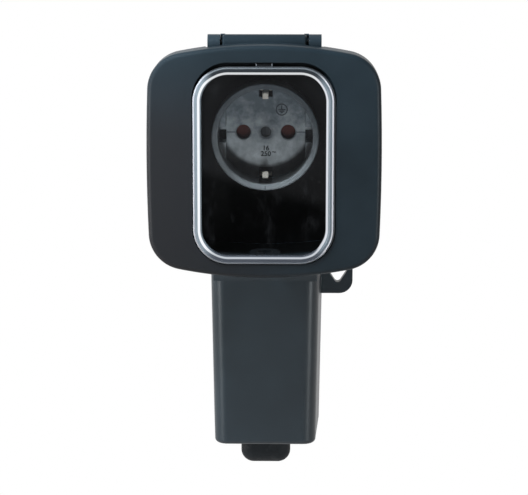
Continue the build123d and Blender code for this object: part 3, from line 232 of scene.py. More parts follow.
class ShaderTree:
    """The node tree of one material or of the world."""

    EDGE_TURN: ClassVar[Pair] = (0.01, 0.2)
    EDGE_SAMPLES: ClassVar[int] = 4

    def __init__(self, owner: Union[bpy.types.Material, bpy.types.World]) -> None:
        """Empties the owner's node tree.

        Args:
            owner: The material or the world.
        """
        owner.use_nodes = True
        self.tree = owner.node_tree
        self.tree.nodes.clear()

    def node(self, kind: str, settings: Optional[Dict[str, Any]] = None,
             inputs: Optional[Dict[Key, Any]] = None, output: Key = 0) -> Wire:
        """Adds one node.

        Args:
            kind: The node's type.
            settings: Values of the node itself, set before its sockets.
            inputs: Values or wires of its input sockets.
            output: The output to give back.

        Returns:
            The chosen output.
        """
        made = self.tree.nodes.new(kind)
        for name, value in (settings or {}).items():
            setattr(made, name, value)
        for key, value in (inputs or {}).items():
            self._feed(made.inputs[key], value)
        return Wire(self, made.outputs[output])

    def _feed(self, socket: bpy.types.NodeSocket, value: Any) -> None:
        """Links a wire to a socket, or sets a plain value on it.

        Args:
            socket: The input socket.
            value: The wire, number, vector or colour.
        """
        if isinstance(value, Wire):
            self.tree.links.new(value.socket, socket)
        elif socket.type == "RGBA":
            socket.default_value = (*value, 1.0)
        else:
            socket.default_value = value

    def place(self) -> Wire:
        """Gives the object's own coordinates, in metres."""
        return self.node("ShaderNodeTexCoord", output="Object")

    def facing(self) -> Wire:
        """Gives the direction that the surface faces."""
        return self.node("ShaderNodeNewGeometry", output="Normal")

    def split(self, vector: Wire) -> Wire:
        """Splits a vector and gives its X, from which Y and Z can be picked."""
        return self.node("ShaderNodeSeparateXYZ", None, {0: vector})

    def agreement(self, first: Wire, second: Union[Wire, Point]) -> Wire:
        """Gives how far two directions agree, from -1 to 1."""
        settings = {"operation": "DOT_PRODUCT"}
        return self.node("ShaderNodeVectorMath", settings, {0: first, 1: second}, "Value")

    def noise(self, place: Wire, speckle: Speckle) -> Wire:
        """Adds a noise pattern.

        Args:
            place: The coordinates it is drawn on.
            speckle: The pattern.

        Returns:
            The noise, about 0 to 1.
        """
        return self.node("ShaderNodeTexNoise", None, {
            "Vector": place,
            "Scale": 1 / speckle.size,
            "Detail": speckle.layers,
            "Roughness": speckle.strength,
        })

    def blend(self, share: Value, first: Any, second: Any) -> Wire:
        """Mixes two colours by a share from 0 to 1."""
        inputs = {0: share, 6: first, 7: second}
        return self.node("ShaderNodeMix", {"data_type": "RGBA"}, inputs, 2)

    def stretch(self, place: Wire, scale: Point) -> Wire:
        """Scales coordinates along the axes."""
        return self.node("ShaderNodeVectorMath", {"operation": "MULTIPLY"}, {0: place, 1: scale})

    def rounded(self, radius: float) -> Wire:
        """Gives the surface direction with its sharp edges rounded by a radius in metres."""
        return self.node("ShaderNodeBevel", {"samples": self.EDGE_SAMPLES}, {"Radius": radius})

    def edges(self, radius: float) -> Wire:
        """Marks the sharp edges.

        Args:
            radius: How far from an edge the mark reaches, in metres.

        Returns:
            About 1 on an edge and 0 on a flat.
        """
        turned = self.agreement(self.rounded(radius), self.facing())
        return (1 - turned).rise(*self.EDGE_TURN)

    def bump(self, height: Wire, depth: float, radius: float) -> Wire:
        """Raises a pattern on edges that are rounded.

        Args:
            height: The pattern, from 0 to 1.
            depth: Its height in metres.
            radius: The radius of sharp edges in metres.

        Returns:
            The surface direction for a shader.
        """
        return self.node("ShaderNodeBump", None, {
            "Strength": 1.0,
            "Distance": depth,
            "Height": height,
            "Normal": self.rounded(radius),
        })

    def principled(self, inputs: Dict[Key, Any]) -> None:
        """Makes a Principled shader with these inputs the surface."""
        self.surface(self.node("ShaderNodeBsdfPrincipled", None, inputs))

    def surface(self, shader: Wire) -> None:
        """Makes a shader the surface of the material, or the world.

        Args:
            shader: The shader.
        """
        world = shader.socket.node.type == "BACKGROUND"
        kind = "ShaderNodeOutputWorld" if world else "ShaderNodeOutputMaterial"
        self.tree.links.new(shader.socket, self.tree.nodes.new(kind).inputs["Surface"])


@dataclass(frozen=True)
class Finish:
    """What every finish of the socket has."""

    name: str
    colour: Colour
    roughness: float

    def material(self) -> bpy.types.Material:
        """Makes the finish into a material.

        Returns:
            The new material.
        """
        made = bpy.data.materials.new(self.name)
        self.draw(ShaderTree(made))
        return made

    def draw(self, tree: ShaderTree) -> None:
        """Draws the finish in an empty tree."""
        raise NotImplementedError


@dataclass(frozen=True)
class MouldedPlastic(Finish):
    """Moulded plastic with an eroded texture, slightly cloudy and lighter on its edges."""

    specular: float = 0.5
    grain: Speckle = Speckle(0.35 * MM, 3.0, 0.6)
    grain_depth: float = 0.006 * MM
    grain_rough: float = 0.08
    clouds: Speckle = Speckle(32 * MM, 4.0)
    cloud_range: Pair = (0.3, 0.7)
    cloud_gain: float = 0.16
    rubbing: Speckle = Speckle(5 * MM, 6.0, 0.62)
    rubbed_range: Pair = (0.25, 0.6)
    rubbed_rough: float = 0.14
    edge_radius: float = 0.35 * MM
    edge_spread: float = 1.6
    edge_gain: float = 0.35
    edge_lift: float = 0.004
    edge_polish: float = 0.06

    def shade(self, gain: float, lift: float = 0.0) -> Colour:
        """Gives the colour made lighter or darker."""
        red, green, blue = (min(1.0, level * gain + lift) for level in self.colour)
        return red, green, blue

    def tone(self, tree: ShaderTree, place: Wire) -> Wire:
        """Draws the colour of its flats, which is slightly cloudy.

        Args:
            tree: The tree to draw in.
            place: The coordinates it is drawn on.

        Returns:
            The colour.
        """
        cloud = tree.noise(place, self.clouds).rise(*self.cloud_range)
        return tree.blend(cloud, self.shade(1 - self.cloud_gain), self.shade(1 + self.cloud_gain))

    def draw(self, tree: ShaderTree) -> None:
        """Draws the plastic.

        Args:
            tree: The tree to draw in.
        """
        place = tree.place()
        rubbed = tree.noise(place, self.rubbing)
        grain = tree.noise(place, self.grain)
        edge = tree.edges(self.edge_radius * self.edge_spread)
        worn = edge * rubbed.rise(*self.rubbed_range)
        pale = self.shade(1 + self.edge_gain, self.edge_lift)
        broad = (rubbed - NOISE_MIDDLE) * self.rubbed_rough
        fine = (grain - NOISE_MIDDLE) * self.grain_rough
        tree.principled({
            "Base Color": tree.blend(worn, self.tone(tree, place), pale),
            "Roughness": self.roughness + broad + fine - edge * self.edge_polish,
            "Specular IOR Level": self.specular,
            "Normal": tree.bump(grain, self.grain_depth, self.edge_radius),
        })


@dataclass(frozen=True)
class WarmLitPlastic(MouldedPlastic):
    """Plastic with a painted tint of warm light low on its left side."""

    # Painted light: a more neutral, less blue tint, as if lit by a warm lamp from the left.
    warm_light_tint: Colour = srgb(28, 30, 33)
    reach: float = 40 * MM
    height_range: Pair = (45 * MM, 95 * MM)

    def tone(self, tree: ShaderTree, place: Wire) -> Wire:
        """Draws the colour, with a painted tint of warm light towards the lower left.

        Args:
            tree: The tree to draw in.
            place: The coordinates it is drawn on.

        Returns:
            The colour.
        """
        across = tree.split(place)
        left = (-across).rise(-self.reach, self.reach)
        high = across.pick("Z").rise(*self.height_range)
        # Painted light: the lower left takes the warm-light tint.
        return tree.blend(left * (1 - high), super().tone(tree, place), self.warm_light_tint)


@dataclass(frozen=True)
class HollowPlastic(MouldedPlastic):
    """Plastic of a box with painted shade on the walls and floor inside it, darkest low down."""

    # Painted shade: the inside of the box is drawn near-black low down and less dark higher up.
    dark: Colour = srgb(9, 10, 11)
    painted_upper_shade: Colour = srgb(34, 35, 37)
    painted_upper_shade_range: Pair = (25.0 * MM, 34.0 * MM)
    low: float = -2.5 * MM
    middle: float = 41.0 * MM
    high: float = 82.8 * MM
    rim: float = -51.0 * MM
    step: float = 0.5 * MM
    wall_range: Pair = (1.0 * MM, 4.0 * MM)
    floor_range: Pair = (0.5, 0.9)

    def tone(self, tree: ShaderTree, place: Wire) -> Wire:
        """Draws the colour with painted shade inside the box.

        Args:
            tree: The tree to draw in.
            place: The coordinates it is drawn on.

        Returns:
            The colour.
        """
        across = tree.split(place)
        facing = tree.split(tree.facing())
        height = across.pick("Z")
        # A wall is inside where it faces the box's axis,
        # and the floor where it faces forward behind the rim.
        inward = facing.pick("Z") * (self.middle - height) - facing * across
        wall = inward.rise(*self.wall_range)
        behind = across.pick("Y").rise(self.rim, self.rim + self.step)
        floor = (-facing.pick("Y")).rise(*self.floor_range) * behind
        above = height.rise(self.high, self.high + self.step)
        level = height.rise(self.low, self.low + self.step) * (1 - above)
        # Painted shade on the inner walls and floor, less dark above the height range.
        inside = tree.blend(height.rise(*self.painted_upper_shade_range), self.dark, self.painted_upper_shade)
        return tree.blend(wall.at_least(floor) * level, super().tone(tree, place), inside)


@dataclass(frozen=True)
class DustyPlastic(MouldedPlastic):
    """Plastic of the outlet, with a pale dusty bloom, a painted light that grows towards the
    bottom, a painted darker ring, and painted shade in what lies deep.
    """

    # The pale colour stands for both dust and painted light: noise patches of dust, and a painted
    # light that grows towards the bottom.
    bloom: Colour = srgb(240, 250, 255)
    # Colour of the painted shade in the recess.
    dark: Colour = srgb(22, 23, 24)
    axis: float = 47.8 * MM
    patches: Speckle = Speckle(6 * MM, 6.0, 0.68)
    patch_share: float = 1.5
    painted_light_range: Pair = (28 * MM, 66 * MM)
    painted_light_share: float = 0.82
    recess_range: Pair = (-41.5 * MM, -40.5 * MM)
    ring_dust_and_light: float = 0.35
    # Painted shade: the front ring is drawn darker than the recess by this gain.
    ring_painted_shade: float = 0.75
    # Painted shade: behind the recess floor, the crescent shadow of the lower wall, and round the
    # middle screw.
    deep_range: Pair = (-24.2 * MM, -22.2 * MM)
    shade_rise: float = 5.1 * MM
    shade_range: Pair = (18.4 * MM, 20.6 * MM)
    shade_share: float = 0.85
    spot_range: Pair = (1.8 * MM, 4.4 * MM)
    spot_share: float = 0.36

    def tone(self, tree: ShaderTree, place: Wire) -> Wire:
        """Draws the colour with the dusty bloom, the painted light low down, the painted darker
        ring and the painted shade on it.

        Args:
            tree: The tree to draw in.
            place: The coordinates it is drawn on.

        Returns:
            The colour.
        """
        across = tree.split(place)
        depth, height = across.pick("Y"), across.pick("Z")
        inside = depth.rise(*self.recess_range)
        patches = (tree.noise(place, self.patches) - NOISE_MIDDLE) * self.patch_share
        # Painted light: the outlet grows paler towards the bottom, as where more light reaches; the
        # noise patches add real dust.
        painted_light = (1 - height.rise(*self.painted_light_range)) * self.painted_light_share
        dust = (painted_light + patches) * (self.ring_dust_and_light + inside * (1 - self.ring_dust_and_light))
        # Painted shade: the ring at the front takes a darker copy of the colour.
        ring_shaded = tree.blend(inside, self.shade(self.ring_painted_shade), self.colour)
        before_recess_shade = tree.blend(dust.at_least(0.0).at_most(1.0), ring_shaded, self.bloom)
        # Painted shadow of the recess's lower wall, a crescent low down.
        wall = self._away(across, self.axis + self.shade_rise).rise(*self.shade_range) * inside
        # Painted shade round the middle screw's recess.
        spot = 1 - self._away(across, self.axis).rise(*self.spot_range)
        # Painted shade on what lies behind the recess floor.
        deep = depth.rise(*self.deep_range)
        painted_shade = deep.at_least(wall * self.shade_share).at_least(spot * self.spot_share)
        return tree.blend(painted_shade, before_recess_shade, self.dark)

    def _away(self, across: Wire, height: float) -> Wire:
        """Gives the distance from a line that runs front to back at a height."""
        return (across ** 2 + (across.pick("Z") - height) ** 2) ** 0.5


@dataclass(frozen=True)
class SoftRubber(Finish):
    """Matt rubber with a dusty bloom in its fine grain."""

    bloom: Colour = srgb(88, 90, 92)
    dust: Speckle = Speckle(6 * MM, 6.0, 0.65)
    dust_range: Pair = (0.5, 0.8)
    dust_share: float = 0.22
    dust_rough: float = 0.18
    grain: Speckle = Speckle(0.5 * MM, 3.0)
    grain_depth: float = 0.012 * MM
    edge_radius: float = 0.3 * MM
    specular: float = 0.25
    sheen: float = 0.05
    sheen_rough: float = 0.5

    def draw(self, tree: ShaderTree) -> None:
        """Draws the rubber.

        Args:
            tree: The tree to draw in.
        """
        place = tree.place()
        dust = tree.noise(place, self.dust)
        dusty = dust.rise(*self.dust_range) * self.dust_share
        grain = tree.noise(place, self.grain)
        tree.principled({
            "Base Color": tree.blend(dusty, self.colour, self.bloom),
            "Roughness": self.roughness + (dust - NOISE_MIDDLE) * self.dust_rough,
            "Specular IOR Level": self.specular,
            "Sheen Weight": self.sheen,
            "Sheen Roughness": self.sheen_rough,
            "Normal": tree.bump(grain, self.grain_depth, self.edge_radius),
        })


@dataclass(frozen=True)
class BareMetal(Finish):
    """Turned or stamped metal with fine drawing lines and a faint tarnish."""

    tarnish: Colour = srgb(120, 112, 100)
    drawn: Point = (1.0, 1.0, 0.08)
    metallic: float = 1.0
    lines: Speckle = Speckle(0.25 * MM, 3.0, 0.6)
    line_rough: float = 0.16
    line_depth: float = 0.004 * MM
    stains: Speckle = Speckle(4 * MM, 5.0, 0.6)
    stain_range: Pair = (0.45, 0.8)
    stain_share: float = 0.45
    stain_rough: float = 0.12
    edge_radius: float = 0.2 * MM

    def draw(self, tree: ShaderTree) -> None:
        """Draws the metal.

        Args:
            tree: The tree to draw in.
        """
        place = tree.place()
        lines = tree.noise(tree.stretch(place, self.drawn), self.lines)
        stain = tree.noise(place, self.stains).rise(*self.stain_range)
        uneven = (lines - NOISE_MIDDLE) * self.line_rough + stain * self.stain_rough
        tree.principled({
            "Base Color": tree.blend(stain * self.stain_share, self.colour, self.tarnish),
            "Metallic": self.metallic,
            "Roughness": self.roughness + uneven,
            "Normal": tree.bump(lines, self.line_depth, self.edge_radius),
        })


@dataclass(frozen=True)
class RimSide:
    """One side of the window's rim: its bands' colours, which are painted reflections and painted
    light, and the reach of two of them.
    """

    outer: Colour
    bevel: Colour
    flat: Colour
    line: Colour
    bevel_reach: Pair
    line_reach: Pair

    def colour(self, band: RimBand) -> Colour:
        """Gives the colour of a band."""
        return getattr(self, band.value)

    def reach(self, band: RimBand) -> Pair:
        """Gives where the bevel or the line starts and ends, inwards from the edge."""
        return self.bevel_reach if band is RimBand.BEVEL else self.line_reach


@dataclass(frozen=True)
class WindowSpot:
    """Where a point lies: from the window's middle and edge, and its share of each side."""

    across: Wire
    rise: Wire
    inset: Wire
    shares: Tuple[Wire, Wire, Wire, Wire]


@dataclass(frozen=True)
class ClearWindow(Finish):
    """Clear pane whose rim carries painted reflections that differ from side to side and a painted
    glowing white line beside the pane.
    """

    rim: float = 3.4 * MM
    rim_step: float = 0.05 * MM
    corner: float = 14.3 * MM
    corner_turn: Pair = (-6 * MM, 4 * MM)
    middle_turn: float = 10 * MM
    # The rim's band colours are painted reflections and painted light, lighter or darker on each
    # side as light falls; the line is a painted white glow.
    left: RimSide = RimSide(
        srgb(104, 110, 118), srgb(124, 130, 138), srgb(104, 115, 123), srgb(244, 247, 251),
        (-1.0 * MM, 0.6 * MM), (1.75 * MM, 2.75 * MM))
    right: RimSide = RimSide(
        srgb(62, 66, 72), srgb(176, 178, 184), srgb(84, 94, 102), srgb(208, 211, 217),
        (0.6 * MM, 1.15 * MM), (2.75 * MM, 3.55 * MM))
    above: RimSide = RimSide(
        srgb(40, 44, 48), srgb(84, 90, 95), srgb(32, 36, 40), srgb(208, 211, 213),
        (0.3 * MM, 0.85 * MM), (2.2 * MM, 3.1 * MM))
    below: RimSide = RimSide(
        srgb(90, 96, 102), srgb(104, 111, 119), srgb(58, 63, 71), srgb(188, 193, 199),
        (-1.0 * MM, 0.6 * MM), (2.05 * MM, 2.75 * MM))
    blur: float = 0.15 * MM
    slope: Colour = srgb(40, 43, 47)
    side_wall: Colour = srgb(18, 20, 22)
    side_rough: float = 0.6
    front_range: Pair = (0.25, 0.5)
    tab: Colour = srgb(14, 16, 18)
    # Colour of the painted glints at the tab's ends.
    tab_end_glint: Colour = srgb(150, 157, 166)
    tab_rise: float = 1.2 * MM
    tab_half: float = 3.4 * MM
    tab_end_width: float = 0.5 * MM
    tab_range: Pair = (0.1 * MM, 0.3 * MM)
    haze: Colour = srgb(62, 65, 69)
    smears: Speckle = Speckle(6 * MM, 6.0, 0.66)
    smear_stretch: Point = (1.0, 1.0, 0.5)
    smear_range: Pair = (0.52, 0.8)
    smear_rough: float = 0.05
    smear_film: float = 0.09
    # Painted reflection: a lighter sheet over the pane's upper part, with a slanted lower edge.
    painted_veil: Colour = srgb(43, 44, 46)
    painted_veil_tilt: float = 0.27
    painted_veil_range: Pair = (-13.0 * MM, -6.0 * MM)
    film: float = 0.1
    # Strength of the painted glow of the rim's white line.
    glow: float = 1.0
    least_share: float = 0.001

    def draw(self, tree: ShaderTree) -> None:
        """Draws the pane and its rim, whose colours are painted reflections and a painted glow.

        Args:
            tree: The tree to draw in.
        """
        place = tree.place()
        spot = self._spot(tree, place)
        front = tree.agreement(tree.facing(), FORWARD).rise(*self.front_range)
        drawn = tree.stretch(place, self.smear_stretch)
        smear = tree.noise(drawn, self.smears).rise(*self.smear_range)
        painted_line_glow = self._colour(tree, spot, RimBand.LINE)
        pane = spot.inset.rise(self.rim - self.rim_step, self.rim + self.rim_step)
        line = self._band(spot, RimBand.LINE)
        clear = tree.blend(pane, self._rim(tree, spot, front), self._film(tree, spot, smear))
        see_through = pane * (1 - line) * (1 - self.film - smear * self.smear_film)
        tree.principled({
            "Base Color": tree.blend(line, clear, self.slope),
            "Roughness": self.roughness + smear * self.smear_rough + (1 - front) * self.side_rough,
            "Alpha": 1 - see_through,
            # Painted glow: the white line on the rim's front glows though it is no lamp.
            "Emission Color": tree.blend(line * front, BLACK, painted_line_glow),
            "Emission Strength": self.glow,
        })

    def _spot(self, tree: ShaderTree, place: Wire) -> WindowSpot:
        """Finds where a point lies on the window, which is a rectangle with round corners.

        Args:
            tree: The tree to draw in.
            place: The point's coordinates.

        Returns:
            The point's place on the window.
        """
        low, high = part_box("window")
        high = high - Vector((0.0, 0.0, self.tab_rise))
        middle, half = (low + high) / 2, (high - low) / 2
        parts = tree.split(place)
        across, rise = parts - middle.x, parts.pick("Z") - middle.z
        side = abs(across) - (half.x - self.corner)
        tall = abs(rise) - (half.z - self.corner)
        outside = (side.at_least(0.0) ** 2 + tall.at_least(0.0) ** 2) ** 0.5
        inset = self.corner - outside - side.at_least(tall).at_most(0.0)
        beside = (side - tall).rise(*self.corner_turn)
        right = across.rise(-self.middle_turn, self.middle_turn) * beside
        above = rise.rise(-self.middle_turn, self.middle_turn) * (1 - beside)
        return WindowSpot(across, rise, inset, (beside - right, right, above, 1 - beside - above))

    def _rim(self, tree: ShaderTree, spot: WindowSpot, front: Wire) -> Wire:
        """Draws the rim's painted reflections, and the tab over it with painted glints at its ends.

        Args:
            tree: The tree to draw in.
            spot: The place on the window.
            front: 1 where the surface faces forward and 0 on the side walls.

        Returns:
            The colour.
        """
        outer, bevel, flat = (
            self._colour(tree, spot, band) for band in (RimBand.OUTER, RimBand.BEVEL, RimBand.FLAT))
        start = self._limit(spot, RimBand.BEVEL, BandEnd.START)
        edge = 1 - (spot.inset - start).rise(0.0, self.blur)
        bands = tree.blend(edge, tree.blend(self._band(spot, RimBand.BEVEL), flat, bevel), outer)
        # Painted glints at the tab's two ends.
        ends = abs(spot.across).rise(self.tab_half - self.tab_end_width, self.tab_half)
        tab = tree.blend(ends, self.tab, self.tab_end_glint)
        beyond = (-spot.inset).rise(*self.tab_range)
        return tree.blend(front, self.side_wall, tree.blend(beyond, bands, tab))

    def _film(self, tree: ShaderTree, spot: WindowSpot, smear: Wire) -> Wire:
        """Draws the colour of the thin film on the pane, with a painted reflection over its upper
        part.

        Args:
            tree: The tree to draw in.
            spot: The place on the window.
            smear: How thick the smears are.

        Returns:
            The colour.
        """
        # Painted reflection over the upper part of the pane.
        painted_veil = (spot.rise + spot.across * self.painted_veil_tilt).rise(*self.painted_veil_range)
        return tree.blend(smear, tree.blend(painted_veil, self.colour, self.painted_veil), self.haze)

    def _sides(self) -> Tuple[RimSide, ...]:
        """Gives the rim's sides in the order of their shares."""
        return self.left, self.right, self.above, self.below

    def _limit(self, spot: WindowSpot, band: RimBand, end: BandEnd) -> Wire:
        """Gives where a band starts or ends, passing smoothly from side to side.

        Args:
            spot: The place on the window.
            band: The bevel or the line.
            end: Which end of it.

        Returns:
            The distance from the window's edge.
        """
        reaches = (side.reach(band)[end.value] for side in self._sides())
        first, *rest = [share * reach for share, reach in zip(spot.shares, reaches)]
        return sum(rest, first)

    def _band(self, spot: WindowSpot, band: RimBand) -> Wire:
        """Marks a band of the rim.

        Args:
            spot: The place on the window.
            band: The bevel or the line.

        Returns:
            1 in the band and 0 outside it.
        """
        entered, left = (
            (spot.inset - self._limit(spot, band, end)).rise(0.0, self.blur) for end in BandEnd)
        return entered * (1 - left)

    def _colour(self, tree: ShaderTree, spot: WindowSpot, band: RimBand) -> Wire:
        """Gives a band's painted colour, passing smoothly from side to side.

        Args:
            tree: The tree to draw in.
            spot: The place on the window.
            band: The band.

        Returns:
            The colour.
        """
        left, right, above, below = (side.colour(band) for side in self._sides())
        on_left, on_right, on_top, _ = spot.shares
        beside = on_left + on_right
        ends = tree.blend(on_top / (1 - beside).at_least(self.least_share), below, above)
        sides = tree.blend(on_right / beside.at_least(self.least_share), left, right)
        return tree.blend(beside, ends, sides)


class FinishShelf:
    """The socket's finishes by slot, each made into a material once."""

    FINISHES: ClassVar[Dict[Slot, Finish]] = {
        Slot.HOUSING: HollowPlastic("housing_plastic", srgb(32, 42, 49), 0.4, specular=0.4),
        Slot.LID: WarmLitPlastic("lid_plastic", srgb(26, 35, 41), 0.42, specular=0.15),
        Slot.PLATE: MouldedPlastic(
            "plate_plastic", srgb(32, 36, 40), 0.55, grain=Speckle(0.5 * MM, 3.0, 0.6)),
        Slot.CLEAR: ClearWindow("window_clear", srgb(6, 7, 8), 0.2),
        Slot.OUTLET: DustyPlastic("outlet_plastic", srgb(119, 131, 140), 0.42, edge_gain=0.15),
        Slot.INSULATOR: MouldedPlastic("base_plastic", srgb(60, 58, 56), 0.6),
        Slot.SHUTTER: MouldedPlastic("shutter_plastic", srgb(98, 57, 52), 0.5, edge_gain=0.1),
        Slot.BRASS: BareMetal("contact_brass", srgb(214, 176, 98), 0.3, tarnish=srgb(142, 104, 52)),
        # Painted highlight: the clip is drawn near-white with almost no metal, so its colour stands
        # in for the bright glint of the nickel tips.
        Slot.NICKEL: BareMetal(
            "clip_nickel", srgb(255, 251, 240), 0.3, tarnish=srgb(206, 198, 180), metallic=0.05),
        Slot.STEEL: BareMetal("screw_steel", srgb(196, 198, 200), 0.3),
        Slot.HINGE_STEEL: BareMetal(
            "hinge_steel", srgb(178, 180, 184), 0.32, drawn=(0.08, 1.0, 1.0)),
        Slot.RUBBER: SoftRubber("seal_rubber", srgb(14, 20, 25), 0.7),
        Slot.BLOCK: MouldedPlastic("block_plastic", srgb(206, 200, 186), 0.5, edge_gain=0.05),
    }

    def __init__(self) -> None:
        """Starts with nothing made."""
        self.made: Dict[Slot, bpy.types.Material] = {}

    def get(self, slot: Slot) -> bpy.types.Material:
        """Gives the material of a slot.

        Args:
            slot: The record's slot.

        Returns:
            Its material, made at the first call.
        """
        if slot not in self.made:
            self.made[slot] = self.FINISHES[slot].material()
        return self.made[slot]


@dataclass
class Assembly:
    """A group of pieces that are fitted together."""

    shelf: FinishShelf
    weld: float = 0.0001 * MM
    nodes: ClassVar[Dict[str, Slot]] = {}
    special: ClassVar[Dict[str, Finish]] = {}

    def build(self) -> None:
        """Adds the pieces that the frame lacks; most groups add none."""

    def dress(self) -> None:
        """Gives each of the group's frame pieces its finish."""
        for name, slot in self.nodes.items():
            material = self._material(name, slot)
            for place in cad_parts[name].material_slots:
                place.material = material
            LOG.info("dressed %s as %s", name, material.name)

    def add(self, name: str, shape: bmesh.types.BMesh, body: Body, slot: Slot) -> None:
        """Adds one piece.

        Args:
            name: The piece's name.
            shape: Its shape, which is used up.
            body: The body it rides on.
            slot: The slot it takes its finish from.
        """
        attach(self._piece(name, shape, slot), body.value)
        LOG.info("added %s on %s", name, body.value)

    def bend(self, piece: bpy.types.Object, node: str, first: Body, second: Body,
             start: Sequence[float], end: Sequence[float]) -> None:
        """Bakes a piece's placement into its mesh and hides the rigid frame piece that it stands
        for.

        Args:
            piece: The piece that stands in.
            node: The frame piece that it stands for.
            first: The body at its start, which is only logged.
            second: The body at its end, which is only logged.
            start: Not used.
            end: Not used.
        """
        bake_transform(piece)
        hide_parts(node)
        LOG.info("added %s between %s and %s", piece.name, first.value, second.value)

    def _material(self, name: str, slot: Slot) -> bpy.types.Material:
        """Gives a piece's own material if it has one, or else its slot's."""
        return self.special[name].material() if name in self.special else self.shelf.get(slot)

    def _copy(self, node: str) -> bmesh.types.BMesh:
        """Copies the shape of a frame piece.

        Args:
            node: The frame piece's name.

        Returns:
            The copied shape.
        """
        shape = bmesh.new()
        shape.from_mesh(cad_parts[node].data)
        bmesh.ops.remove_doubles(shape, verts=shape.verts[:], dist=self.weld)
        return shape

    def _piece(self, name: str, shape: bmesh.types.BMesh, slot: Slot) -> bpy.types.Object:
        """Makes a shape into a piece that follows no body yet.

        Args:
            name: The piece's name.
            shape: Its shape, which is used up.
            slot: The slot it takes its finish from.

        Returns:
            The new object.
        """
        bmesh.ops.recalc_face_normals(shape, faces=shape.faces[:])
        mesh = bpy.data.meshes.new(name)
        shape.to_mesh(mesh)
        shape.free()
        piece = bpy.data.objects.new(name, mesh)
        bpy.context.scene.collection.objects.link(piece)
        mesh.materials.append(self._material(name, slot))
        return piece


@dataclass
class HousingAssembly(Assembly):
    """The box with its lower body, the wall plate and what holds them."""

    nodes: ClassVar[Dict[str, Slot]] = {
        "housing": Slot.HOUSING,
        "back_plate": Slot.PLATE,
        "housing_gasket": Slot.RUBBER,
        "housing_screws": Slot.STEEL,
    }


@dataclass
class LidAssembly(Assembly):
    """The lid with its window, seals and hinge."""

    coil_start: float = -7.9 * MM
    coil_end: float = 7.9 * MM

    nodes: ClassVar[Dict[str, Slot]] = {
        "lid": Slot.LID,
        "window": Slot.CLEAR,
        "window_gasket": Slot.RUBBER,
        "lid_seal": Slot.RUBBER,
        "cord_seal": Slot.RUBBER,
        "hinge_pin": Slot.HINGE_STEEL,
    }
    special: ClassVar[Dict[str, Finish]] = {
        "hinge_pin": BareMetal(
            "blackened_pin", srgb(38, 40, 42), 0.5, tarnish=srgb(26, 26, 27), metallic=0.5),
    }

    def build(self) -> None:
        """Puts a smooth-shaded copy of the spring in the place of the rigid one."""
        shape = self._copy("hinge_spring")
        for face in shape.faces:
            face.smooth = True
        spring = self._piece("closing_spring", shape, Slot.HINGE_STEEL)
        low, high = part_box("hinge_pin")
        axis = (low + high) / 2
        self.bend(spring, "hinge_spring", Body.LID, Body.BASE,
                  (self.coil_start, axis.y, axis.z), (self.coil_end, axis.y, axis.z))


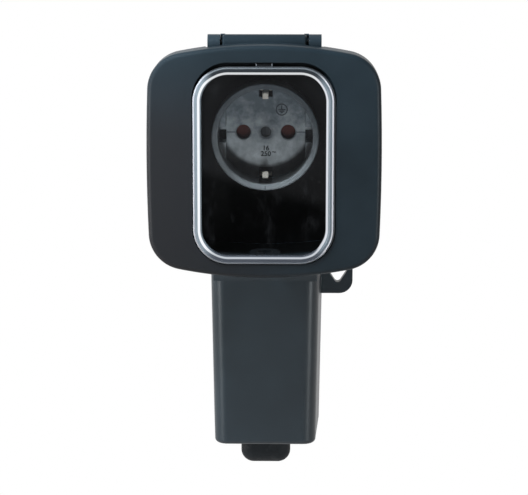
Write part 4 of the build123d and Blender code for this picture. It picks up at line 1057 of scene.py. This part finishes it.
@dataclass
class OutletAssembly(Assembly):
    """The outlet behind the window, with the marks moulded on its floor and the shutter's leaf."""

    recess_depth: float = 17.5 * MM
    raised: float = 0.18 * MM
    earth_beside: float = 6.7 * MM
    earth_above: float = 9.6 * MM
    earth_radius: float = 2.55 * MM
    earth_steps: int = 64
    line: float = 0.45 * MM
    thin_line: float = 0.85
    stem_rise: float = 0.34
    stem_tall: float = 0.72
    earth_bars: Tuple[Pair, ...] = ((0.0, 1.2), (0.27, 0.8), (0.52, 0.42))
    rating_size: float = 2.9 * MM
    rating_bold: float = 0.06 * MM
    rating_rows: Tuple[Tuple[str, float, float], ...] = (
        ("16", 0.0, -7.8 * MM), ("250", 0.0, -10.2 * MM), ("~", 3.4 * MM, -9.3 * MM))
    seam_from: float = 13.0 * MM
    seam_to: float = 16.7 * MM
    seam_width: float = 0.32 * MM
    ring_from: float = 20.4 * MM
    ring_to: float = 22.0 * MM
    ring_sunk: float = 0.7
    leaf_from: Pair = (-3.4 * MM, 9.0 * MM)
    leaf_to: Pair = (-9.04 * MM, 3.79 * MM)
    leaf_folds: int = 24

    nodes: ClassVar[Dict[str, Slot]] = {
        "socket_face": Slot.OUTLET,
        "socket_base": Slot.INSULATOR,
        "shutter": Slot.SHUTTER,
        "contact_left": Slot.BRASS,
        "contact_right": Slot.BRASS,
        "earth_clip": Slot.NICKEL,
        "centre_screw": Slot.STEEL,
        "terminal_screws": Slot.BRASS,
        "insert_gasket": Slot.RUBBER,
        "insert_screws": Slot.STEEL,
    }
    special: ClassVar[Dict[str, Finish]] = {
        # Painted shade: the middle screw is drawn dark to carry the shade of its recess.
        "centre_screw": BareMetal(
            "shaded_screw_steel", srgb(66, 70, 73), 0.5, tarnish=srgb(40, 42, 44), metallic=0.1),
        "earth_sign": MouldedPlastic("earth_sign_plastic", srgb(84, 90, 96), 0.5),
        "rating_marks": MouldedPlastic("rating_plastic", srgb(36, 39, 42), 0.5),
        "face_seams": MouldedPlastic("seam_plastic", srgb(84, 90, 96), 0.5),
    }

    def __post_init__(self) -> None:
        """Finds the recess floor and the outlet's axis in the frame."""
        low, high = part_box("socket_face")
        self.floor = low.y + self.recess_depth
        self.axis = Vector(((low.x + high.x) / 2, 0.0, (low.z + high.z) / 2))

    def build(self) -> None:
        """Adds the earth sign, the rating, the seams and the shutter's leaf."""
        self.add("earth_sign", self._earth_sign(), Body.BASE, Slot.HOUSING)
        self.add("rating_marks", self._rating(), Body.BASE, Slot.HOUSING)
        self.add("face_seams", self._seams(), Body.BASE, Slot.HOUSING)
        self._return_leaf()

    def _bar(self, shape: bmesh.types.BMesh, centre: Pair, size: Pair,
             ground: Optional[float] = None) -> None:
        """Adds a raised bar to a shape.

        Args:
            shape: The shape to add to.
            centre: The bar's middle, across and up from the outlet's axis.
            size: Its width and height.
            ground: Where the surface lies that it stands on, the recess floor if none is given.
        """
        ground = self.floor if ground is None else ground
        place = self.axis + Vector((centre[0], ground - self.raised / 2, centre[1]))
        scale = Matrix.Diagonal((size[0], self.raised, size[1], 1.0))
        bmesh.ops.create_cube(shape, size=1.0, matrix=Matrix.Translation(place) @ scale)

    def _earth_sign(self) -> bmesh.types.BMesh:
        """Makes the earth sign: a ring round a stem and three bars.

        Returns:
            The sign's shape.
        """
        shape = bmesh.new()
        self._earth_ring(shape)
        across, up, reach = self.earth_beside, self.earth_above, self.earth_radius
        self._bar(shape, (across, up + reach * self.stem_rise), (self.line, reach * self.stem_tall))
        thin = self.line * self.thin_line
        for drop, share in self.earth_bars:
            self._bar(shape, (across, up - reach * drop), (reach * share, thin))
        return shape

    def _earth_ring(self, shape: bmesh.types.BMesh) -> None:
        """Adds the ring of the earth sign.

        Args:
            shape: The shape to add to.
        """
        middle = self.axis + Vector((self.earth_beside, 0.0, self.earth_above))
        back, front = self.floor, self.floor - self.raised
        outer, inner = self.earth_radius, self.earth_radius - self.line
        profile = ((outer, back), (outer, front), (inner, front), (inner, back))
        rings: List[List[bmesh.types.BMVert]] = []
        for step in range(self.earth_steps):
            turn = 2 * math.pi * step / self.earth_steps
            rings.append([
                shape.verts.new((
                    middle.x + radius * math.cos(turn), depth, middle.z + radius * math.sin(turn)))
                for radius, depth in profile])
        for step, here in enumerate(rings):
            after = rings[(step + 1) % len(rings)]
            for corner in range(len(profile)):
                follow = (corner + 1) % len(profile)
                shape.faces.new((here[corner], here[follow], after[follow], after[corner]))

    def _rating(self) -> bmesh.types.BMesh:
        """Makes the raised figures under the middle screw.

        Returns:
            The shape of all rows.
        """
        shape = bmesh.new()
        for figures, across, up in self.rating_rows:
            curve = bpy.data.curves.new("rating_row", "FONT")
            curve.body = figures
            curve.size = self.rating_size
            curve.align_x = "CENTER"
            curve.extrude = self.raised / 2
            curve.offset = self.rating_bold
            holder = bpy.data.objects.new("rating_row", curve)
            bpy.context.scene.collection.objects.link(holder)
            evaluated = holder.evaluated_get(bpy.context.evaluated_depsgraph_get())
            mesh = bpy.data.meshes.new_from_object(evaluated)
            place = self.axis + Vector((across, self.floor - self.raised / 2, up))
            mesh.transform(Matrix.Translation(place) @ Matrix.Rotation(math.pi / 2, 4, "X"))
            shape.from_mesh(mesh)
            bpy.data.objects.remove(holder)
            bpy.data.curves.remove(curve)
            bpy.data.meshes.remove(mesh)
        bmesh.ops.remove_doubles(shape, verts=shape.verts[:], dist=self.weld)
        return shape

    def _seams(self) -> bmesh.types.BMesh:
        """Makes the fine seams that run out from the pin holes and across the ring.

        Returns:
            The shape of the seams.
        """
        shape = bmesh.new()
        middle, length = (self.seam_from + self.seam_to) / 2, self.seam_to - self.seam_from
        for side in (-1, 1):
            self._bar(shape, (side * middle, 0.0), (length, self.seam_width))
        height = -(self.ring_from + self.ring_to) / 2
        front = self.floor - self.recess_depth + self.raised * self.ring_sunk
        self._bar(shape, (0.0, height), (self.seam_width, self.ring_to - self.ring_from), front)
        return shape

    def _return_leaf(self) -> None:
        """Puts a copy of the leaf, cut across in many places, in the place of the rigid one."""
        low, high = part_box("shutter_spring")
        depth = (low.y + high.y) / 2
        start, end = (
            self.axis + Vector((across, depth, up))
            for across, up in (self.leaf_from, self.leaf_to))
        shape = self._copy("shutter_spring")
        for fold in range(1, self.leaf_folds):
            parts = shape.verts[:] + shape.edges[:] + shape.faces[:]
            cut = start.lerp(end, fold / self.leaf_folds)
            bmesh.ops.bisect_plane(shape, geom=parts, plane_co=cut, plane_no=end - start)
        leaf = self._piece("return_leaf", shape, Slot.STEEL)
        self.bend(leaf, "shutter_spring", Body.BASE, Body.SHUTTER, tuple(start), tuple(end))


@dataclass
class SupplyAssembly(Assembly):
    """The cable entry and the terminals in the lower body."""

    nodes: ClassVar[Dict[str, Slot]] = {
        "cable_boot": Slot.RUBBER,
        "cord_clamp": Slot.INSULATOR,
        "clamp_screws": Slot.STEEL,
        "terminal_block": Slot.BLOCK,
        "block_tubes": Slot.BRASS,
        "block_screws": Slot.STEEL,
    }


@dataclass(frozen=True)
class Softbox:
    """A soft lamp aimed at the socket, which can leave out its reflections or its wash."""

    name: str
    place: Point
    size: Pair
    power: float
    colour: Colour
    gloss: bool = True
    wash: bool = True

    def hang(self, aim: Vector) -> None:
        """Hangs the lamp and turns it towards a point.

        Args:
            aim: The point.
        """
        lamp = bpy.data.lights.new(self.name, "AREA")
        lamp.shape = "RECTANGLE"
        lamp.size, lamp.size_y = self.size
        lamp.energy = self.power
        lamp.color = self.colour
        holder = bpy.data.objects.new(self.name, lamp)
        holder.location = self.place
        holder.rotation_euler = (aim - Vector(self.place)).to_track_quat("-Z", "Y").to_euler()
        holder.visible_glossy = self.gloss
        holder.visible_diffuse = self.wash
        bpy.context.scene.collection.objects.link(holder)
        LOG.info("hung %s", self.name)


@dataclass
class Studio:
    """The floor, the surroundings, the lamps and the camera."""

    eye: Point = (0.0137, -0.8573, 0.1552)
    aim: Point = (-0.0006, -0.036, 0.0)
    lens: float = 134.4
    sensor: float = 36.0
    clip: Pair = (0.01, 20.0)
    floor_height: float = -0.3
    floor_radius: float = 0.8
    floor_sides: int = 96
    floor_colour: Colour = (0.86, 0.86, 0.86)
    floor_glow: float = 0.72
    floor_fade: Pair = (0.3, 0.7)
    fill: float = 0.1
    dark_front: float = 0.06
    front_range: Pair = (0.0, 0.65)
    dark_above: float = 0.35
    above_range: Pair = (0.25, 0.8)
    lamps: Tuple[Softbox, ...] = (
        Softbox("key_lamp", (-0.26, -0.15, 0.03), (0.1, 0.12), 1.3, (1.0, 0.86, 0.78),
                gloss=False),
        Softbox("upper_lamp", (-0.11, -0.17, 0.25), (0.14, 0.08), 1.85, (0.92, 0.97, 1.0),
                gloss=False),
        Softbox("low_lamp", (0.03, -0.95, -0.28), (0.22, 0.22), 3.2, (0.95, 0.98, 1.0),
                gloss=False),
        Softbox("left_strip", (-0.66, -0.68, -0.04), (0.04, 0.36), 3.5, (0.93, 0.98, 1.0),
                wash=False),
        Softbox("right_strip", (0.62, -0.72, -0.02), (0.04, 0.36), 4.6, (0.9, 0.97, 1.0),
                wash=False),
    )

    def build(self) -> None:
        """Sets up the whole studio."""
        bpy.context.scene.view_settings.view_transform = "Standard"
        self._floor()
        self._surroundings()
        for lamp in self.lamps:
            lamp.hang(Vector(self.aim))
        self._camera()

    def _floor(self) -> None:
        """Lays a round pale floor that keeps the shadow and fades to white at its rim."""
        shape = bmesh.new()
        bmesh.ops.create_circle(
            shape, cap_ends=True, segments=self.floor_sides, radius=self.floor_radius,
            matrix=Matrix.Translation((0.0, 0.0, self.floor_height)))
        mesh = bpy.data.meshes.new("floor")
        shape.to_mesh(mesh)
        shape.free()
        floor = bpy.data.objects.new("floor", mesh)
        bpy.context.scene.collection.objects.link(floor)
        mesh.materials.append(self._paper())

    def _paper(self) -> bpy.types.Material:
        """Makes the floor's material.

        Returns:
            The new material.
        """
        made = bpy.data.materials.new("floor_paper")
        tree = ShaderTree(made)
        across = tree.split(tree.place())
        away = (across ** 2 + across.pick("Y") ** 2) ** 0.5
        near, far = (share * self.floor_radius for share in self.floor_fade)
        ray = tree.node("ShaderNodeLightPath", output="Is Camera Ray")
        seen = ray.at_least(ray.pick("Is Transmission Ray")).at_least(ray.pick("Is Glossy Ray"))
        shade = seen * (self.floor_glow + away.rise(near, far) * (1 - self.floor_glow))
        paper = tree.node("ShaderNodeBsdfDiffuse", None, {"Color": self.floor_colour})
        glow = tree.node("ShaderNodeEmission", None, {"Strength": 1.0})
        tree.surface(tree.node("ShaderNodeMixShader", None, {0: shade, 1: paper, 2: glow}))
        return made

    def _surroundings(self) -> None:
        """Surrounds the socket with white, but lets it mirror a room that is dark in front."""
        world = bpy.data.worlds.new("surroundings")
        bpy.context.scene.world = world
        tree = ShaderTree(world)
        ray = tree.node("ShaderNodeLightPath", output="Is Camera Ray")
        seen = ray.at_least(ray.pick("Is Transmission Ray"))
        gloss = ray.pick("Is Glossy Ray") * (1 - seen)
        heading = tree.split(tree.node("ShaderNodeTexCoord", output="Generated"))
        front = (-heading.pick("Y")).rise(*self.front_range)
        above = heading.pick("Z").rise(*self.above_range)
        mirror = (1 - front * (1 - self.dark_front)) * (1 - above * (1 - self.dark_above))
        strength = seen + gloss * mirror + (1 - seen.at_least(gloss)) * self.fill
        light = {"Color": WHITE, "Strength": strength}
        tree.surface(tree.node("ShaderNodeBackground", None, light))

    def _camera(self) -> None:
        """Puts the camera where the photograph was taken from."""
        lens = bpy.data.cameras.new("camera")
        lens.lens = self.lens
        lens.sensor_width = self.sensor
        lens.clip_start, lens.clip_end = self.clip
        camera = bpy.data.objects.new("camera", lens)
        camera.location = self.eye
        towards = Vector(self.aim) - Vector(self.eye)
        camera.rotation_euler = towards.to_track_quat("-Z", "Y").to_euler()
        bpy.context.scene.collection.objects.link(camera)
        bpy.context.scene.camera = camera


def main() -> None:
    """Builds and dresses the socket, and sets up the studio."""
    logging.basicConfig(level=logging.INFO, format="%(message)s")
    shelf = FinishShelf()
    for group in (HousingAssembly, LidAssembly, OutletAssembly, SupplyAssembly):
        assembly = group(shelf)
        assembly.build()
        assembly.dress()
    Studio().build()


if __name__ == "__main__":
    main()
